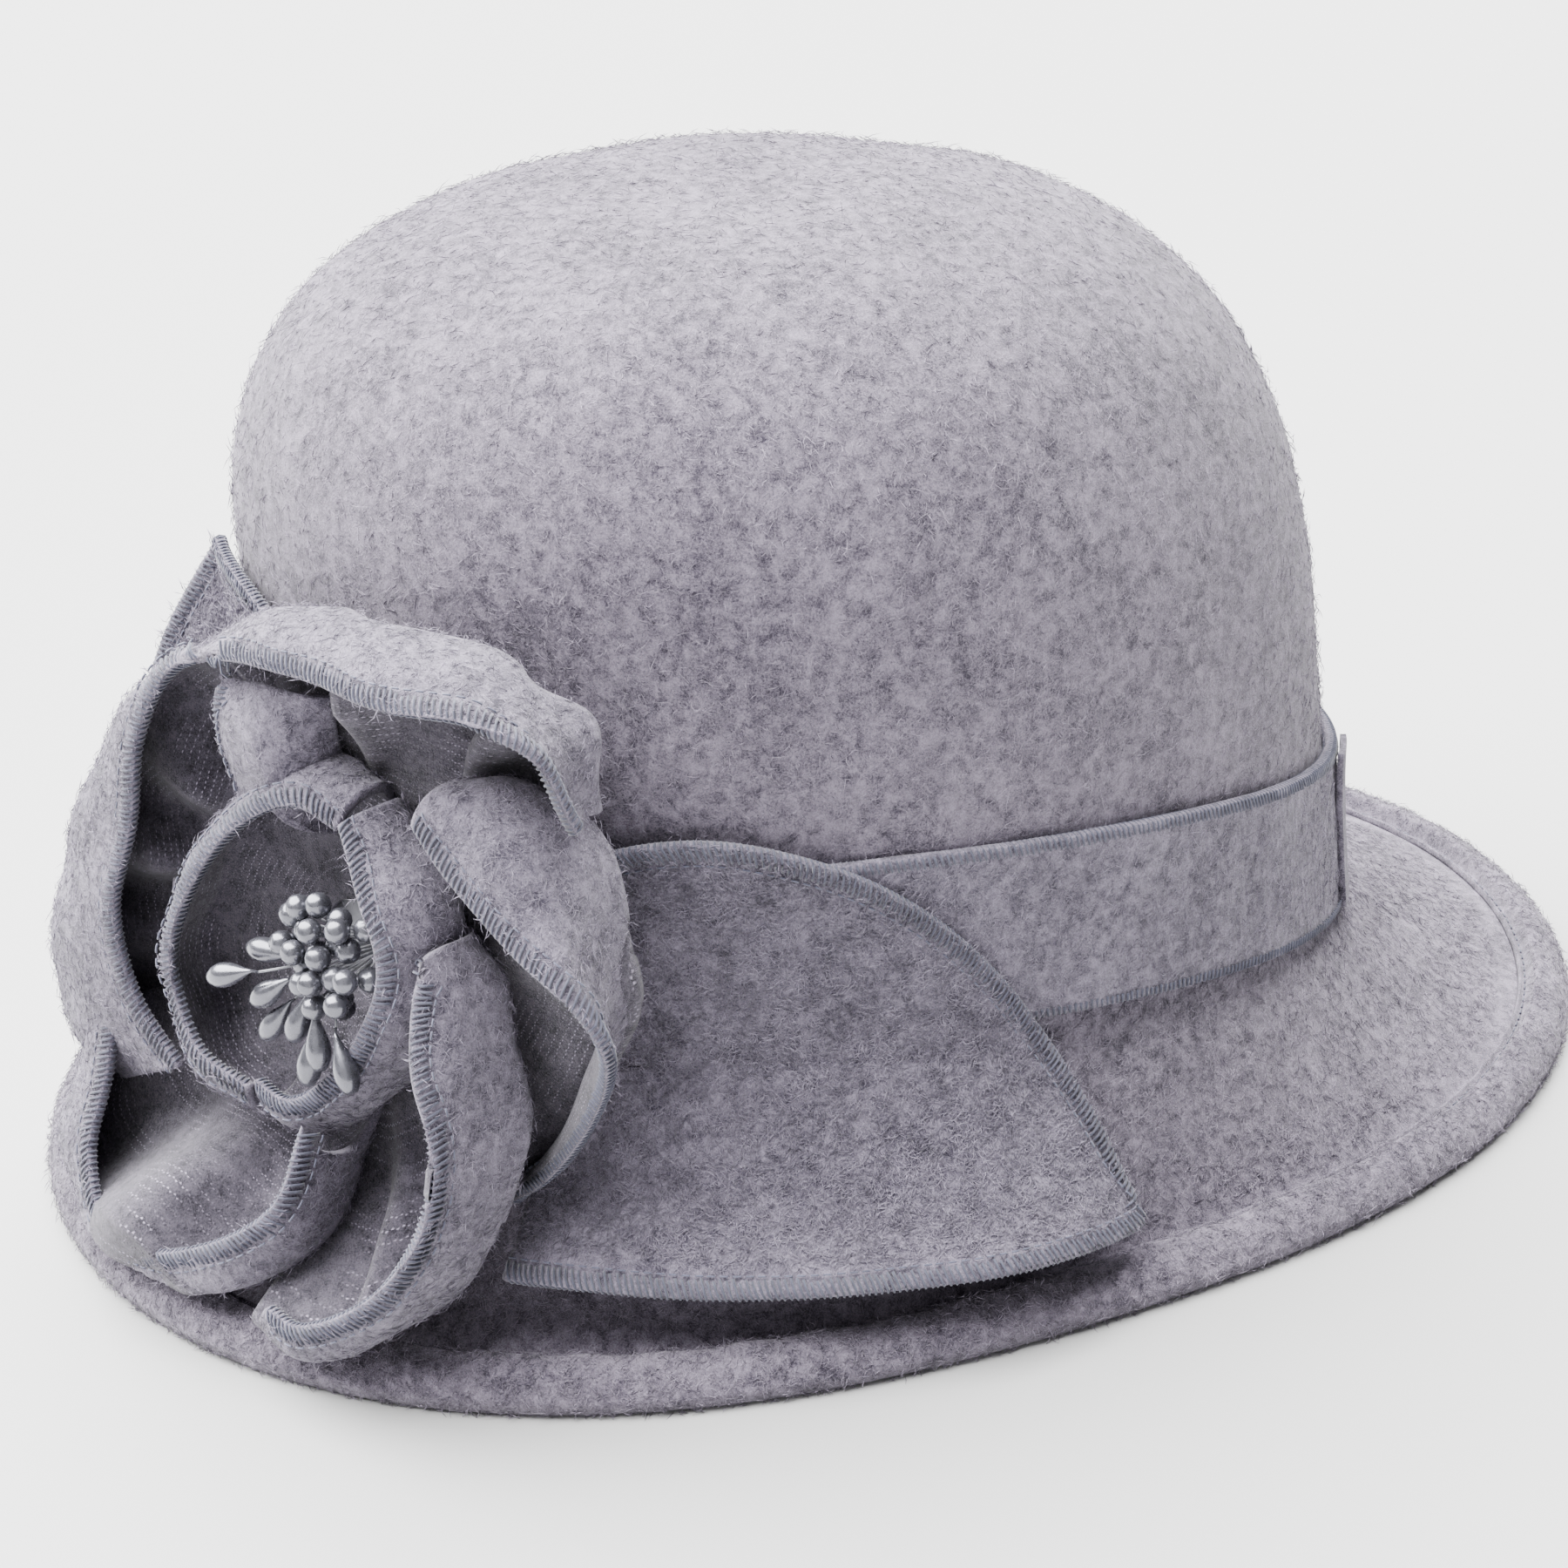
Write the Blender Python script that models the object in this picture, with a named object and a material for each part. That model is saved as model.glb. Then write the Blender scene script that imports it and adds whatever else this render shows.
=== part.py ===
"""Wool felt cloche hat with a fabric flower, in metres, +Z up.

The hat stands on its brim at z = 0. The wearer looks along -Y, and +X is the wearer's left, where the
flower sits. A place on the hat is given by theta, its angle round the head from the front towards the
wearer's left, and by its height z.
"""
import bpy
import numpy as np

# Fit between separate cloths, and the felt itself
GAP = 0.0003
FELT = 0.003

# Head opening, measured inside the felt
HEAD_LENGTH = 0.196
HEAD_WIDTH = 0.168

# Crown, which rises from the foot of the hat band
BAND_FOOT = 0.0427
FOOT_TILT = 0.0067
FOOT_SADDLE = -0.0090
CROWN_HEIGHT = 0.1392
CROWN_SPREAD = 0.028
CROWN_SHOULDER = 5.12
CROWN_ROUND = 2.76
LEAN = 0.127

# Brim, which flares from the foot of the band
BRIM_WIDTH = 0.0419
BRIM_FRONT = 0.0064
BRIM_ENDS = 0.0164
BRIM_FLARE = 1.4
BRIM_FLATTENING = 1.15

# Hem binding and the wire in it
BINDING = 0.0016
HEM_WIDTH = 0.0105
WIRE = 0.0012
THREAD = 0.0008

# Hat band
BAND_HEIGHT = 0.0346
BAND = 0.002
OVERLOCK = 0.002
LAP_ANGLE = 152.0
LAP_WIDTH = 0.016

# Sweatband
SWEATBAND = 0.001
SWEATBAND_HEIGHT = 0.030
BOW_WIDTH = 0.018

# Leaves
LEAF = 0.0018
LEAF_FROM = 43.0
LEAF_MIDDLE = 62.0
LEAF_HALF_ANGLE = 33.5
LEAF_TIP_HEIGHT = 0.012
LEAF_RISE = 0.082
LEAF_LIFT = 0.003

# Flower: its plane touches the crown at this angle and height, and faces this way
FLOWER_THETA = 28.0
FLOWER_HEIGHT = 0.0671
FLOWER_TURN = 31.0
FLOWER_TILT = 10.0
PETAL = 0.0016
ROOT_HEIGHT = 0.011
ROOT_RADIUS = 0.013
CUP_ROOT_RADIUS = 0.007
CUP_ABOVE = 0.004
BASE_RADIUS = 0.014
BASE = 0.0018
TACK = 0.0032
STAMEN_COUNT = 32
STAMEN_LENGTH = 0.016
STAMEN_LEAN = 58.0
STEM = 0.0004
DROP = 0.0013
KNOB_RADIUS = 0.004

# How many flat sides round shapes have
AROUND = 50
BASE_SIDES = 20
KNOB_SIDES = 12
STEM_SIDES = 5

HALF_LENGTH = HEAD_LENGTH / 2 + FELT
HALF_WIDTH = HEAD_WIDTH / 2 + FELT
CENTRE_Y = BRIM_FRONT - LEAN * BAND_FOOT
EDGE_IN = BINDING + WIRE + 2 * GAP
HEM_IN = HEM_WIDTH - EDGE_IN
FELT_EDGE = BINDING + 2 * GAP + FELT
BAND_OUT = GAP + BAND
LEAF_OUT = BAND_OUT + GAP + LEAF
OUTWARD = np.array([0, 0, 1.0])


# ---------------------------------------------------------------- the hat's own shape

def foot(theta):
    """Height of the band's foot, which dips at the front and back and rises at the sides."""
    return BAND_FOOT + FOOT_TILT * np.cos(theta) + FOOT_SADDLE * np.cos(2 * theta)


def brim_width(theta):
    """How far the brim reaches out from the crown."""
    return BRIM_WIDTH + BRIM_FRONT * np.cos(theta) + BRIM_ENDS * np.cos(2 * theta)


def down_brim(theta, z):
    """0 on the crown, growing to 1 at the hem's inner edge."""
    dropped = np.clip((foot(theta) - z) / (foot(theta) - FELT_EDGE), 0, 1)
    return 1 - (1 - dropped) ** (1 / BRIM_FLATTENING)


def flare(theta, t):
    """(distance outside the head oval, height) of the brim's upper face, level from t = 1 to t = 2."""
    slope, level = np.clip(t, 0, 1), np.clip(t - 1, 0, 1)
    reach = (brim_width(theta) - HEM_WIDTH) * slope ** BRIM_FLARE + HEM_IN * level
    return reach, FELT_EDGE + (foot(theta) - FELT_EDGE) * (1 - slope) ** BRIM_FLATTENING


def facing(theta, t):
    """How far the felt faces outwards, and how far upwards: (1, 0) on the crown's wall, (0, 1) on the hem."""
    slope = np.clip(t, 0, 1)
    fall = (foot(theta) - FELT_EDGE) * BRIM_FLATTENING * (1 - slope) ** (BRIM_FLATTENING - 1)
    reach = (brim_width(theta) - HEM_WIDTH) * BRIM_FLARE * slope ** (BRIM_FLARE - 1)
    return fall / np.hypot(fall, reach), reach / np.hypot(fall, reach)


def oval_scale(theta, z):
    """The crown's outline at a height, as a share of the head oval."""
    u = np.clip((z - foot(theta)) / (BAND_FOOT + CROWN_HEIGHT - foot(theta)), 0, 1)
    return (1 + CROWN_SPREAD * u) * (1 - u ** CROWN_SHOULDER) ** (1 / CROWN_ROUND)


def sideways(theta):
    """Unit vector (x, y) straight out from the head oval."""
    long = np.hypot(HALF_LENGTH * np.sin(theta), HALF_WIDTH * np.cos(theta))
    return HALF_LENGTH * np.sin(theta) / long, -HALF_WIDTH * np.cos(theta) / long


def oval(theta, z, scale, out):
    """A point on the head oval, scaled, pushed out and leaned forward with height."""
    across, ahead = sideways(theta)
    x = HALF_WIDTH * scale * np.sin(theta) + out * across
    y = -HALF_LENGTH * scale * np.cos(theta) + out * ahead - LEAN * (z - BAND_FOOT) + CENTRE_Y
    return np.stack(np.broadcast_arrays(x, y, z), -1)


def on_brim(theta, t, out=0.0):
    """The brim's upper face, and from there straight off it by out."""
    theta, t = np.broadcast_arrays(theta, t)
    reach, z = flare(theta, t)
    outwards, upwards = facing(theta, t)
    return oval(theta, z + out * upwards, 1.0, reach + out * outwards)


def on_felt(theta, z, out=0.0):
    """The felt's outer face at a height, and from there straight off the felt by out."""
    theta, z = np.broadcast_arrays(theta, z)
    on_crown = oval(theta, z, oval_scale(theta, z), out)
    return np.where((z < foot(theta))[..., None], on_brim(theta, down_brim(theta, z), out), on_crown)


def lift_off(points, clear):
    """Move points that lie nearer to the felt than clear straight off it."""
    moved = points.copy()
    for _ in range(6):
        x, z = moved[..., 0], moved[..., 2]
        y = moved[..., 1] + LEAN * (z - BAND_FOOT) - CENTRE_Y
        theta = np.arctan2(x / HALF_WIDTH, -y / HALF_LENGTH)
        for _ in range(5):
            scale = oval_scale(theta, z)
            across, ahead = sideways(theta)
            wide, long = HALF_WIDTH * scale, HALF_LENGTH * scale
            out = (x - wide * np.sin(theta)) * across + (y + long * np.cos(theta)) * ahead
            theta = np.arctan2((x - out * across) / wide, (out * ahead - y) / long)
        t = down_brim(theta, z)
        outwards, upwards = facing(theta, t)
        rise = z - flare(theta, t)[1]
        off = (out - flare(theta, t)[0]) * outwards + rise * upwards
        step = np.maximum(clear - off, 0)
        moved[..., 0] += step * outwards * across
        moved[..., 1] += step * outwards * ahead - LEAN * step * upwards
        moved[..., 2] += step * upwards
    return moved


# ---------------------------------------------------------------- making objects

def material(name, color, roughness, metallic=0.0):
    made = bpy.data.materials.new(name)
    made.use_nodes = True
    shader = made.node_tree.nodes["Principled BSDF"]
    shader.inputs["Base Color"].default_value = (*color, 1)
    shader.inputs["Roughness"].default_value = roughness
    shader.inputs["Metallic"].default_value = metallic
    return made


def add_object(name, vertices, faces, finish):
    mesh = bpy.data.meshes.new(name)
    mesh.from_pydata(np.asarray(vertices).tolist(), [], faces)
    mesh.materials.append(finish)
    mesh.shade_smooth()
    mesh.set_sharp_from_angle(angle=0.9)
    made = bpy.data.objects.new(name, mesh)
    bpy.context.scene.collection.objects.link(made)
    return made


def grid_faces(rows, columns, wrap=False):
    """Quads between the rows of a grid; with wrap the last column meets the first."""
    across = columns if wrap else columns - 1
    return [[r * columns + c, r * columns + (c + 1) % columns,
             (r + 1) * columns + (c + 1) % columns, (r + 1) * columns + c]
            for r in range(rows - 1) for c in range(across)]


def sheet(name, grid, thickness, finish, offset=0.0):
    """A cloth from a grid of points, thickened by Solidify."""
    rows, columns = grid.shape[:2]
    made = add_object(name, grid.reshape(-1, 3), grid_faces(rows, columns), finish)
    weld = made.modifiers.new("close_points", "WELD")
    weld.merge_threshold = 0.00002
    solid = made.modifiers.new("cloth", "SOLIDIFY")
    solid.thickness = thickness
    solid.offset = offset
    return made


def ring(name, sections, finish):
    """A closed solid from the same cross-section repeated round the hat: sections[angle][corner]."""
    around, corners = sections.shape[:2]
    faces = [[a * corners + c, (a + 1) % around * corners + c,
              (a + 1) % around * corners + (c + 1) % corners, a * corners + (c + 1) % corners]
             for a in range(around) for c in range(corners)]
    return add_object(name, sections.reshape(-1, 3), faces, finish)


def thread(name, path, diameter, finish, closed=False, sides=0):
    """A round thread along a path."""
    curve = bpy.data.curves.new(name, "CURVE")
    curve.dimensions = "3D"
    curve.bevel_depth = diameter / 2
    curve.bevel_resolution = sides
    curve.use_fill_caps = not closed
    spline = curve.splines.new("POLY")
    spline.points.add(len(path) - 1)
    spline.points.foreach_set("co", np.c_[path, np.ones(len(path))].ravel())
    spline.use_cyclic_u = closed
    curve.materials.append(finish)
    made = bpy.data.objects.new(name, curve)
    bpy.context.scene.collection.objects.link(made)
    return made


def smooth_through(points, count):
    """A Catmull-Rom curve through a few points."""
    points = np.array(points, float)
    ends = np.vstack([2 * points[0] - points[1], points, 2 * points[-1] - points[-2]])
    at = np.linspace(0, len(points) - 1, count)
    i = np.minimum(at.astype(int), len(points) - 2)
    t = (at - i)[:, None]
    a, b, c, d = (ends[i + k] for k in range(4))
    bend = a - 2.5 * b + 2 * c - d / 2
    twist = 1.5 * (b - c) + (d - a) / 2
    return b + t * (c - a) / 2 + t ** 2 * bend + t ** 3 * twist


# ---------------------------------------------------------------- felt, brim edge and bands

def felt_body(finish):
    """Crown and brim in one piece of felt: rings from the brim's edge up to the crown's tip."""
    theta = np.linspace(0, 2 * np.pi, AROUND, endpoint=False)
    rings = [on_brim(theta, t) for t in (2, *np.linspace(1, 0, 9))]
    top = BAND_FOOT + CROWN_HEIGHT - foot(theta)
    wall = np.linspace(0, 0.7, 7)[1:]
    scale_at_shoulder = (1 - wall[-1] ** CROWN_SHOULDER) ** (1 / CROWN_ROUND)
    dome = (1 - np.linspace(scale_at_shoulder, 0.08, 9)[1:] ** CROWN_ROUND) ** (1 / CROWN_SHOULDER)
    rings += [on_felt(theta, foot(theta) + u * top) for u in np.concatenate([wall, dome])]
    points = np.vstack([*rings, on_felt(np.zeros(1), np.array([BAND_FOOT + CROWN_HEIGHT]))])
    faces = grid_faces(len(rings), AROUND, wrap=True)
    last = (len(rings) - 1) * AROUND
    faces += [[last + c, last + (c + 1) % AROUND, len(points) - 1] for c in range(AROUND)]
    body = add_object("felt_body", points, faces, finish)
    solid = body.modifiers.new("felt", "SOLIDIFY")
    solid.thickness = FELT
    solid.offset = -1


def round_the_edge(theta, corners):
    """Corners, as (distance out from the felt's edge, height above its upper face), all round the brim."""
    edge = on_brim(theta, 2.0)
    across, ahead = sideways(theta)
    outwards = np.stack([across, ahead, 0 * theta], -1)
    return np.stack([edge + out * outwards + (0, 0, rise) for out, rise in corners], 1)


def brim_edge(cloth, steel, yarn):
    """The binding folded round the brim's edge, flat underneath to rest on, its wire and its stitching."""
    theta = np.linspace(0, 2 * np.pi, AROUND, endpoint=False)
    inward = HEM_IN - GAP
    top, under = GAP + BINDING, -FELT - 2 * GAP - BINDING
    nose = EDGE_IN
    outer = [(-inward, top), (-inward / 2, top * 1.15), (0, top), (nose * 0.75, top * 0.3),
             (nose, -FELT / 2), (nose * 0.75, under * 0.75), (nose * 0.3, under), (-inward, under)]
    wire_room = WIRE + 2 * GAP
    inner = [(-inward, -FELT - 2 * GAP), (0, -FELT - 2 * GAP), (wire_room * 0.9, -FELT * 0.75),
             (wire_room * 0.9, -FELT * 0.25), (0, GAP), (-inward, GAP)]
    binding = round_the_edge(theta, (outer + inner)[::-1])
    ring("brim_binding", binding, cloth)
    wire = round_the_edge(theta, [(GAP + WIRE / 2, -FELT / 2)])[:, 0]
    thread("brim_wire", wire, WIRE, steel, closed=True)
    stitch = round_the_edge(theta, [(2 * THREAD - inward, top * 1.1 + GAP + THREAD / 2)])[:, 0]
    thread("brim_binding_stitch", stitch, THREAD, yarn, closed=True)


def wall_ring(name, low, high, inside, outside, finish):
    """A strip round the crown between two heights above the foot and two distances outside the felt."""
    theta = np.linspace(0, 2 * np.pi, AROUND, endpoint=False)
    heights = np.linspace(low, high, 3)
    outer = [on_felt(theta, foot(theta) + h, outside) for h in heights]
    inner = [on_felt(theta, foot(theta) + h, inside) for h in heights[::-1]]
    ring(name, np.stack(outer + inner, 1), finish)


def hat_band(cloth, yarn):
    """The band, the thread over its two edges, and the lapped end at the back."""
    theta = np.linspace(0, 2 * np.pi, AROUND, endpoint=False)
    wall_ring("hat_band", 0, BAND_HEIGHT, GAP, BAND_OUT, cloth)
    beyond = GAP + OVERLOCK / 2
    for name, height in (("band_upper_overlock", BAND_HEIGHT + beyond), ("band_lower_overlock", -beyond)):
        z = foot(theta) + height
        out = flare(theta, down_brim(theta, z))[0] + BAND_OUT - OVERLOCK / 2 + GAP / 2
        thread(name, oval(theta, z, oval_scale(theta, z), out), OVERLOCK, yarn, closed=True)
    half = LAP_WIDTH / 2 / HALF_LENGTH
    across = np.radians(LAP_ANGLE) + np.linspace(-half, half, 5)
    up = np.linspace(0.0, BAND_HEIGHT, 5)[:, None]
    sheet("band_lap", on_felt(across, foot(across) + up, BAND_OUT + GAP + BAND / 2), BAND, cloth)


def sweatband(ribbon, yarn):
    """The ribbon inside the head opening, its stitching, and the bow that marks its back."""
    theta = np.linspace(0, 2 * np.pi, AROUND, endpoint=False)
    outside = -FELT - 2 * GAP
    wall_ring("sweatband", GAP, SWEATBAND_HEIGHT, outside - SWEATBAND, outside, ribbon)
    stitch = on_felt(theta, foot(theta) + 3 * THREAD, outside - SWEATBAND - GAP - THREAD / 2)
    thread("sweatband_stitch", stitch, THREAD, yarn, closed=True)
    half = BOW_WIDTH / 2 / HALF_LENGTH
    across = np.pi + np.linspace(-half, half, 9)
    pinch = 0.3 + 0.7 * np.abs(np.linspace(-1, 1, 9))
    up = np.linspace(-1, 1, 4)[:, None] * BOW_WIDTH / 5 * pinch
    inside = outside - 2 * SWEATBAND - 4 * GAP - THREAD
    middle = foot(across) + SWEATBAND_HEIGHT / 2
    sheet("sweatband_bow", on_felt(across, middle + up, inside), SWEATBAND, ribbon)


# ---------------------------------------------------------------- leaves

def side_leaf_outline(arc, grow):
    """(angle, top, bottom) of the side leaf: its top edge is half an ellipse, its lower edge is level."""
    theta = np.radians(LEAF_MIDDLE + (LEAF_HALF_ANGLE + np.degrees(grow / HALF_WIDTH)) * np.sin(arc))
    top = LEAF_TIP_HEIGHT + (LEAF_RISE + grow) * np.cos(arc)
    low = np.full_like(arc, LEAF_TIP_HEIGHT) - grow
    return theta, np.maximum(top, low), low


def side_leaf_place(theta, z):
    """A point of the side leaf: it lies on the band and lifts off the brim towards its lower edge."""
    lift = LEAF_LIFT * np.clip((LEAF_TIP_HEIGHT + LEAF_RISE - z) / LEAF_RISE, 0, 1) ** 3
    return on_felt(theta, z, LEAF_OUT - LEAF / 2 + lift)


def side_leaf(cloth, yarn):
    """The large leaf over band and brim, with thread over its edge."""
    start = np.arcsin((LEAF_FROM - LEAF_MIDDLE) / LEAF_HALF_ANGLE)
    theta, top, low = side_leaf_outline(np.linspace(start, np.pi / 2, 12), 0.0)
    share = np.linspace(0, 1, 8)[:, None]
    sheet("leaf_side", side_leaf_place(theta, top + (low - top) * share), LEAF, cloth)
    theta, top, low = side_leaf_outline(np.linspace(start, np.pi / 2, 22), 2 * GAP + OVERLOCK / 2)
    outline = np.vstack([side_leaf_place(theta, top), side_leaf_place(theta, low)[-2::-1]])
    thread("leaf_side_overlock", outline, OVERLOCK, yarn)


# ---------------------------------------------------------------- flower

def flower_axes():
    """(place on the crown, unit across, unit up the flower, unit out) of the flower's plane."""
    turn, tilt = np.radians(FLOWER_TURN), np.radians(FLOWER_TILT)
    out = np.array([np.sin(turn) * np.cos(tilt), -np.cos(turn) * np.cos(tilt), np.sin(tilt)])
    across = np.array([np.cos(turn), np.sin(turn), 0])
    return on_felt(np.radians(FLOWER_THETA), FLOWER_HEIGHT), across, np.cross(out, across), out


def in_flower(points):
    """Points given across, up and out of the flower's plane, placed on the hat."""
    place, across, up, out = flower_axes()
    points = np.asarray(points, float)
    return place + points[..., :1] * across + points[..., 1:2] * up + points[..., 2:] * out


def petal_grid(rim, bulge, low, root_radius, root_height, columns, rows, clear):
    """Each column is a cubic curve from the petal's root to its rim, whose handles bulge out past the rim."""
    edge = smooth_through(np.array(rim) / 1000, columns)
    reach = np.linalg.norm(edge[:, :2], axis=1, keepdims=True)
    way = edge[:, :2] / reach
    belly = reach + bulge
    height = edge[:, 2:]

    def at(radius, rise):
        return np.hstack([way * radius, np.broadcast_to(rise, height.shape)])

    root = at(root_radius, root_height)
    first = at(belly * 0.7, low)
    second = at(belly, low + (height - low) * 0.55)
    t = np.linspace(0, 1, rows)[:, None, None]
    grid = (1 - t) ** 3 * root + 3 * t * (1 - t) ** 2 * first + 3 * t ** 2 * (1 - t) * second + t ** 3 * edge
    return lift_off(in_flower(grid), clear)


# name: rim points (across, up, out) in millimetres, how far the belly passes the rim, its height
OUTER_PETALS = {
    "petal_upper_left": ([(-36, 39, 28), (-44, 16, 31), (-46, -4, 30), (-42, -20, 27)], 0.028, 0.014),
    "petal_top": ([(-14, 53, 34), (8, 55, 38), (31, 56, 40), (47, 54, 37)], 0.008, 0.017),
    "petal_right": ([(28, 29, 30), (43, 24, 34), (57, 18, 30), (63, 10, 23), (60, 3, 19), (53, -7, 17)],
                    0.002, 0.013),
    "petal_lower_right": ([(29, -9, 31), (34, -19, 35), (36, -29, 37), (32, -41, 38), (21, -55, 38),
                           (9, -65, 37), (0, -66, 36)], 0.004, 0.018),
    "petal_lower_left": ([(-50, -32, 26), (-56, -51, 28), (-52, -61, 31), (-37, -63, 34), (-21, -56, 36),
                          (-10, -44, 34)], 0.006, 0.02),
}
CUP_PETALS = {
    "petal_cup_left": ([(1, 28, 30), (-12, 24, 31), (-22, 17, 31), (-30, 2, 31), (-34, -10, 31),
                        (-32, -20, 31), (-20, -23, 30)], 0.004, 0.017),
    "petal_cup_right": ([(9, 26, 31), (17, 22, 33), (23, 15, 35), (24, 3, 35), (19, -6, 34), (10, -17, 32),
                         (0, -26, 31), (-6, -26, 30)], 0.003, 0.017),
}
FOLD = [(-26, 46, 27), (-25, 37, 26), (-23, 29, 24)]
UPPER_LEAF = [(-50, -4, 7), (-63, 4, 8), (-68, 19, 8), (-62, 38, 7), (-54, 59, 4.5), (-39, 54, 4.5),
              (-25, 47, 5)]


def rim_thread(name, grid, diameter, finish):
    """Thread along a cloth's last row, just beyond its edge."""
    beyond = grid[-1] - grid[-2]
    along = np.gradient(grid[-1], axis=0)
    along /= np.linalg.norm(along, axis=1, keepdims=True)
    beyond -= (beyond * along).sum(1, keepdims=True) * along
    beyond /= np.linalg.norm(beyond, axis=1, keepdims=True)
    return thread(name, grid[-1] + beyond * (diameter / 2 + GAP), diameter, finish)


def flower(cloth, yarn, stiff):
    """Petals in two rounds on a stiff base, each with thread over its rim, and the leaf behind them."""
    over_leaf = LEAF_OUT + GAP + PETAL / 2
    over_side_leaf = over_leaf + LEAF_LIFT
    for name, (rim, bulge, low) in OUTER_PETALS.items():
        clear = over_side_leaf if "right" in name else over_leaf + 2 * GAP
        grid = petal_grid(rim, bulge, low, ROOT_RADIUS, ROOT_HEIGHT, 3 * len(rim), 7, clear)
        sheet(name, grid, PETAL, cloth)
        rim_thread(name + "_overlock", grid, OVERLOCK * 0.8, yarn)
    for name, (rim, bulge, low) in CUP_PETALS.items():
        root_height = ROOT_HEIGHT + PETAL + 3 * GAP
        clear = over_leaf + CUP_ABOVE
        grid = petal_grid(rim, bulge, low, CUP_ROOT_RADIUS, root_height, 2 * len(rim), 7, clear)
        sheet(name, grid, PETAL, cloth)
        rim_thread(name + "_overlock", grid, OVERLOCK * 0.8, yarn)
    rim = smooth_through(np.array(FOLD) / 1000, 6)
    foot_line = rim * (0.86, 0.86, 0) + (0.001, 0.003, 0.0205)
    grid = in_flower(np.stack([foot_line + (rim - foot_line) * t for t in np.linspace(0, 1, 4)]))
    sheet("petal_fold", grid, PETAL, cloth)
    rim_thread("petal_fold_overlock", grid, OVERLOCK * 0.8, yarn)
    clear = LEAF_OUT - LEAF / 2 + GAP
    grid = petal_grid(UPPER_LEAF, 0.0, 0.006, BASE_RADIUS + 0.004, 0.006, 16, 5, clear)
    sheet("leaf_upper", grid, LEAF, cloth)
    rim_thread("leaf_upper_overlock", grid, OVERLOCK, yarn)
    base_and_tack(stiff, yarn)


def turned(place, way, profile, sides):
    """Rings of points round a straight axis, from (distance along it, radius) pairs."""
    side = np.cross(way, (0.3, 1, 0.2))
    side /= np.linalg.norm(side)
    other = np.cross(way, side)
    turn = np.linspace(0, 2 * np.pi, sides, endpoint=False)
    circle = np.outer(np.cos(turn), side) + np.outer(np.sin(turn), other)
    return np.vstack([place + way * along + circle * radius for along, radius in profile])


def turned_faces(rows, sides):
    """The quads between the rings of a turned shape, and its two flat ends."""
    last = (rows - 1) * sides
    return grid_faces(rows, sides, wrap=True) + [list(range(sides))[::-1], list(range(last, last + sides))]


def base_and_tack(stiff, yarn):
    """The round base under the petals' roots, and the thread shank that ties it to the band."""
    top = ROOT_HEIGHT - PETAL / 2 - GAP
    faces = [(top - BASE, BASE_RADIUS), (top, BASE_RADIUS)]
    disc = turned(np.zeros(3), OUTWARD, faces, BASE_SIDES)
    add_object("flower_base", in_flower(disc), turned_faces(2, BASE_SIDES), stiff)
    shank = in_flower([(0, 0, BAND_OUT + 3 * GAP), (0, 0, top - BASE - GAP)])
    thread("flower_tack", shank, TACK, yarn, sides=1)


def stamens(pearl):
    """A knob of bound stems, from which every stamen grows as a thin stem with a drop on its end."""
    base = np.array([0, 0, ROOT_HEIGHT + PETAL])
    dome = [(0, KNOB_RADIUS), (KNOB_RADIUS * 0.75, KNOB_RADIUS), (KNOB_RADIUS, KNOB_RADIUS / 2)]
    knob = turned(base, OUTWARD, dome, KNOB_SIDES)
    body = add_object("stamen_bundle", in_flower(knob), turned_faces(len(dome), KNOB_SIDES), pearl)
    count = np.arange(STAMEN_COUNT)
    lean = np.radians(STAMEN_LEAN * np.sqrt((count + 0.5) / STAMEN_COUNT))
    spin = count * np.pi * (3 - np.sqrt(5))
    ways = np.stack([np.sin(lean) * np.cos(spin), np.sin(lean) * np.sin(spin), np.cos(lean)], -1)
    for k, way in enumerate(ways):
        length = STAMEN_LENGTH * (0.86 + 0.14 * np.cos(3 * k))
        drop = [(0, STEM), (0.55 * length, STEM), (0.68 * length, DROP * 0.8), (0.84 * length, DROP),
                (length, STEM)]
        points = in_flower(turned(base + OUTWARD * KNOB_RADIUS / 2, way, drop, STEM_SIDES))
        stem = add_object(f"stamen_cut_{k:02d}", points, turned_faces(len(drop), STEM_SIDES), pearl)
        stem.hide_render = True
        stem.display_type = "WIRE"
        join = body.modifiers.new(stem.name, "BOOLEAN")
        join.operation = "UNION"
        join.object = stem


def main():
    for old in list(bpy.context.scene.objects):
        bpy.data.objects.remove(old, do_unlink=True)
    felt = material("grey_wool_felt", (0.42, 0.42, 0.46), 0.95)
    knit = material("grey_boiled_wool", (0.36, 0.37, 0.41), 0.95)
    yarn = material("grey_thread", (0.22, 0.25, 0.30), 0.8)
    ribbon = material("grosgrain_ribbon", (0.12, 0.12, 0.14), 0.6)
    steel = material("millinery_wire", (0.5, 0.5, 0.5), 0.35, 1.0)
    stiff = material("stiffened_felt", (0.25, 0.25, 0.28), 0.9)
    pearl = material("pearl_lacquer", (0.55, 0.56, 0.60), 0.25, 0.4)
    felt_body(felt)
    brim_edge(felt, steel, yarn)
    hat_band(knit, yarn)
    sweatband(ribbon, yarn)
    side_leaf(knit, yarn)
    flower(knit, yarn, stiff)
    stamens(pearl)


main()
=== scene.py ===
"""Grey wool felt cloche hat with a fabric flower: every surface that is seen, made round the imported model.

The wearer looks along -Y, and +X is the wearer's left. A place on the hat is given by theta, its angle round
the head from the front towards the wearer's left, and by its height z. The flower has a plane of its own,
with places across it, up it and out of it.
"""

import bpy
import numpy as np
from bpy.props import FloatProperty, FloatVectorProperty, IntProperty, PointerProperty
from mathutils import Matrix


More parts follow.
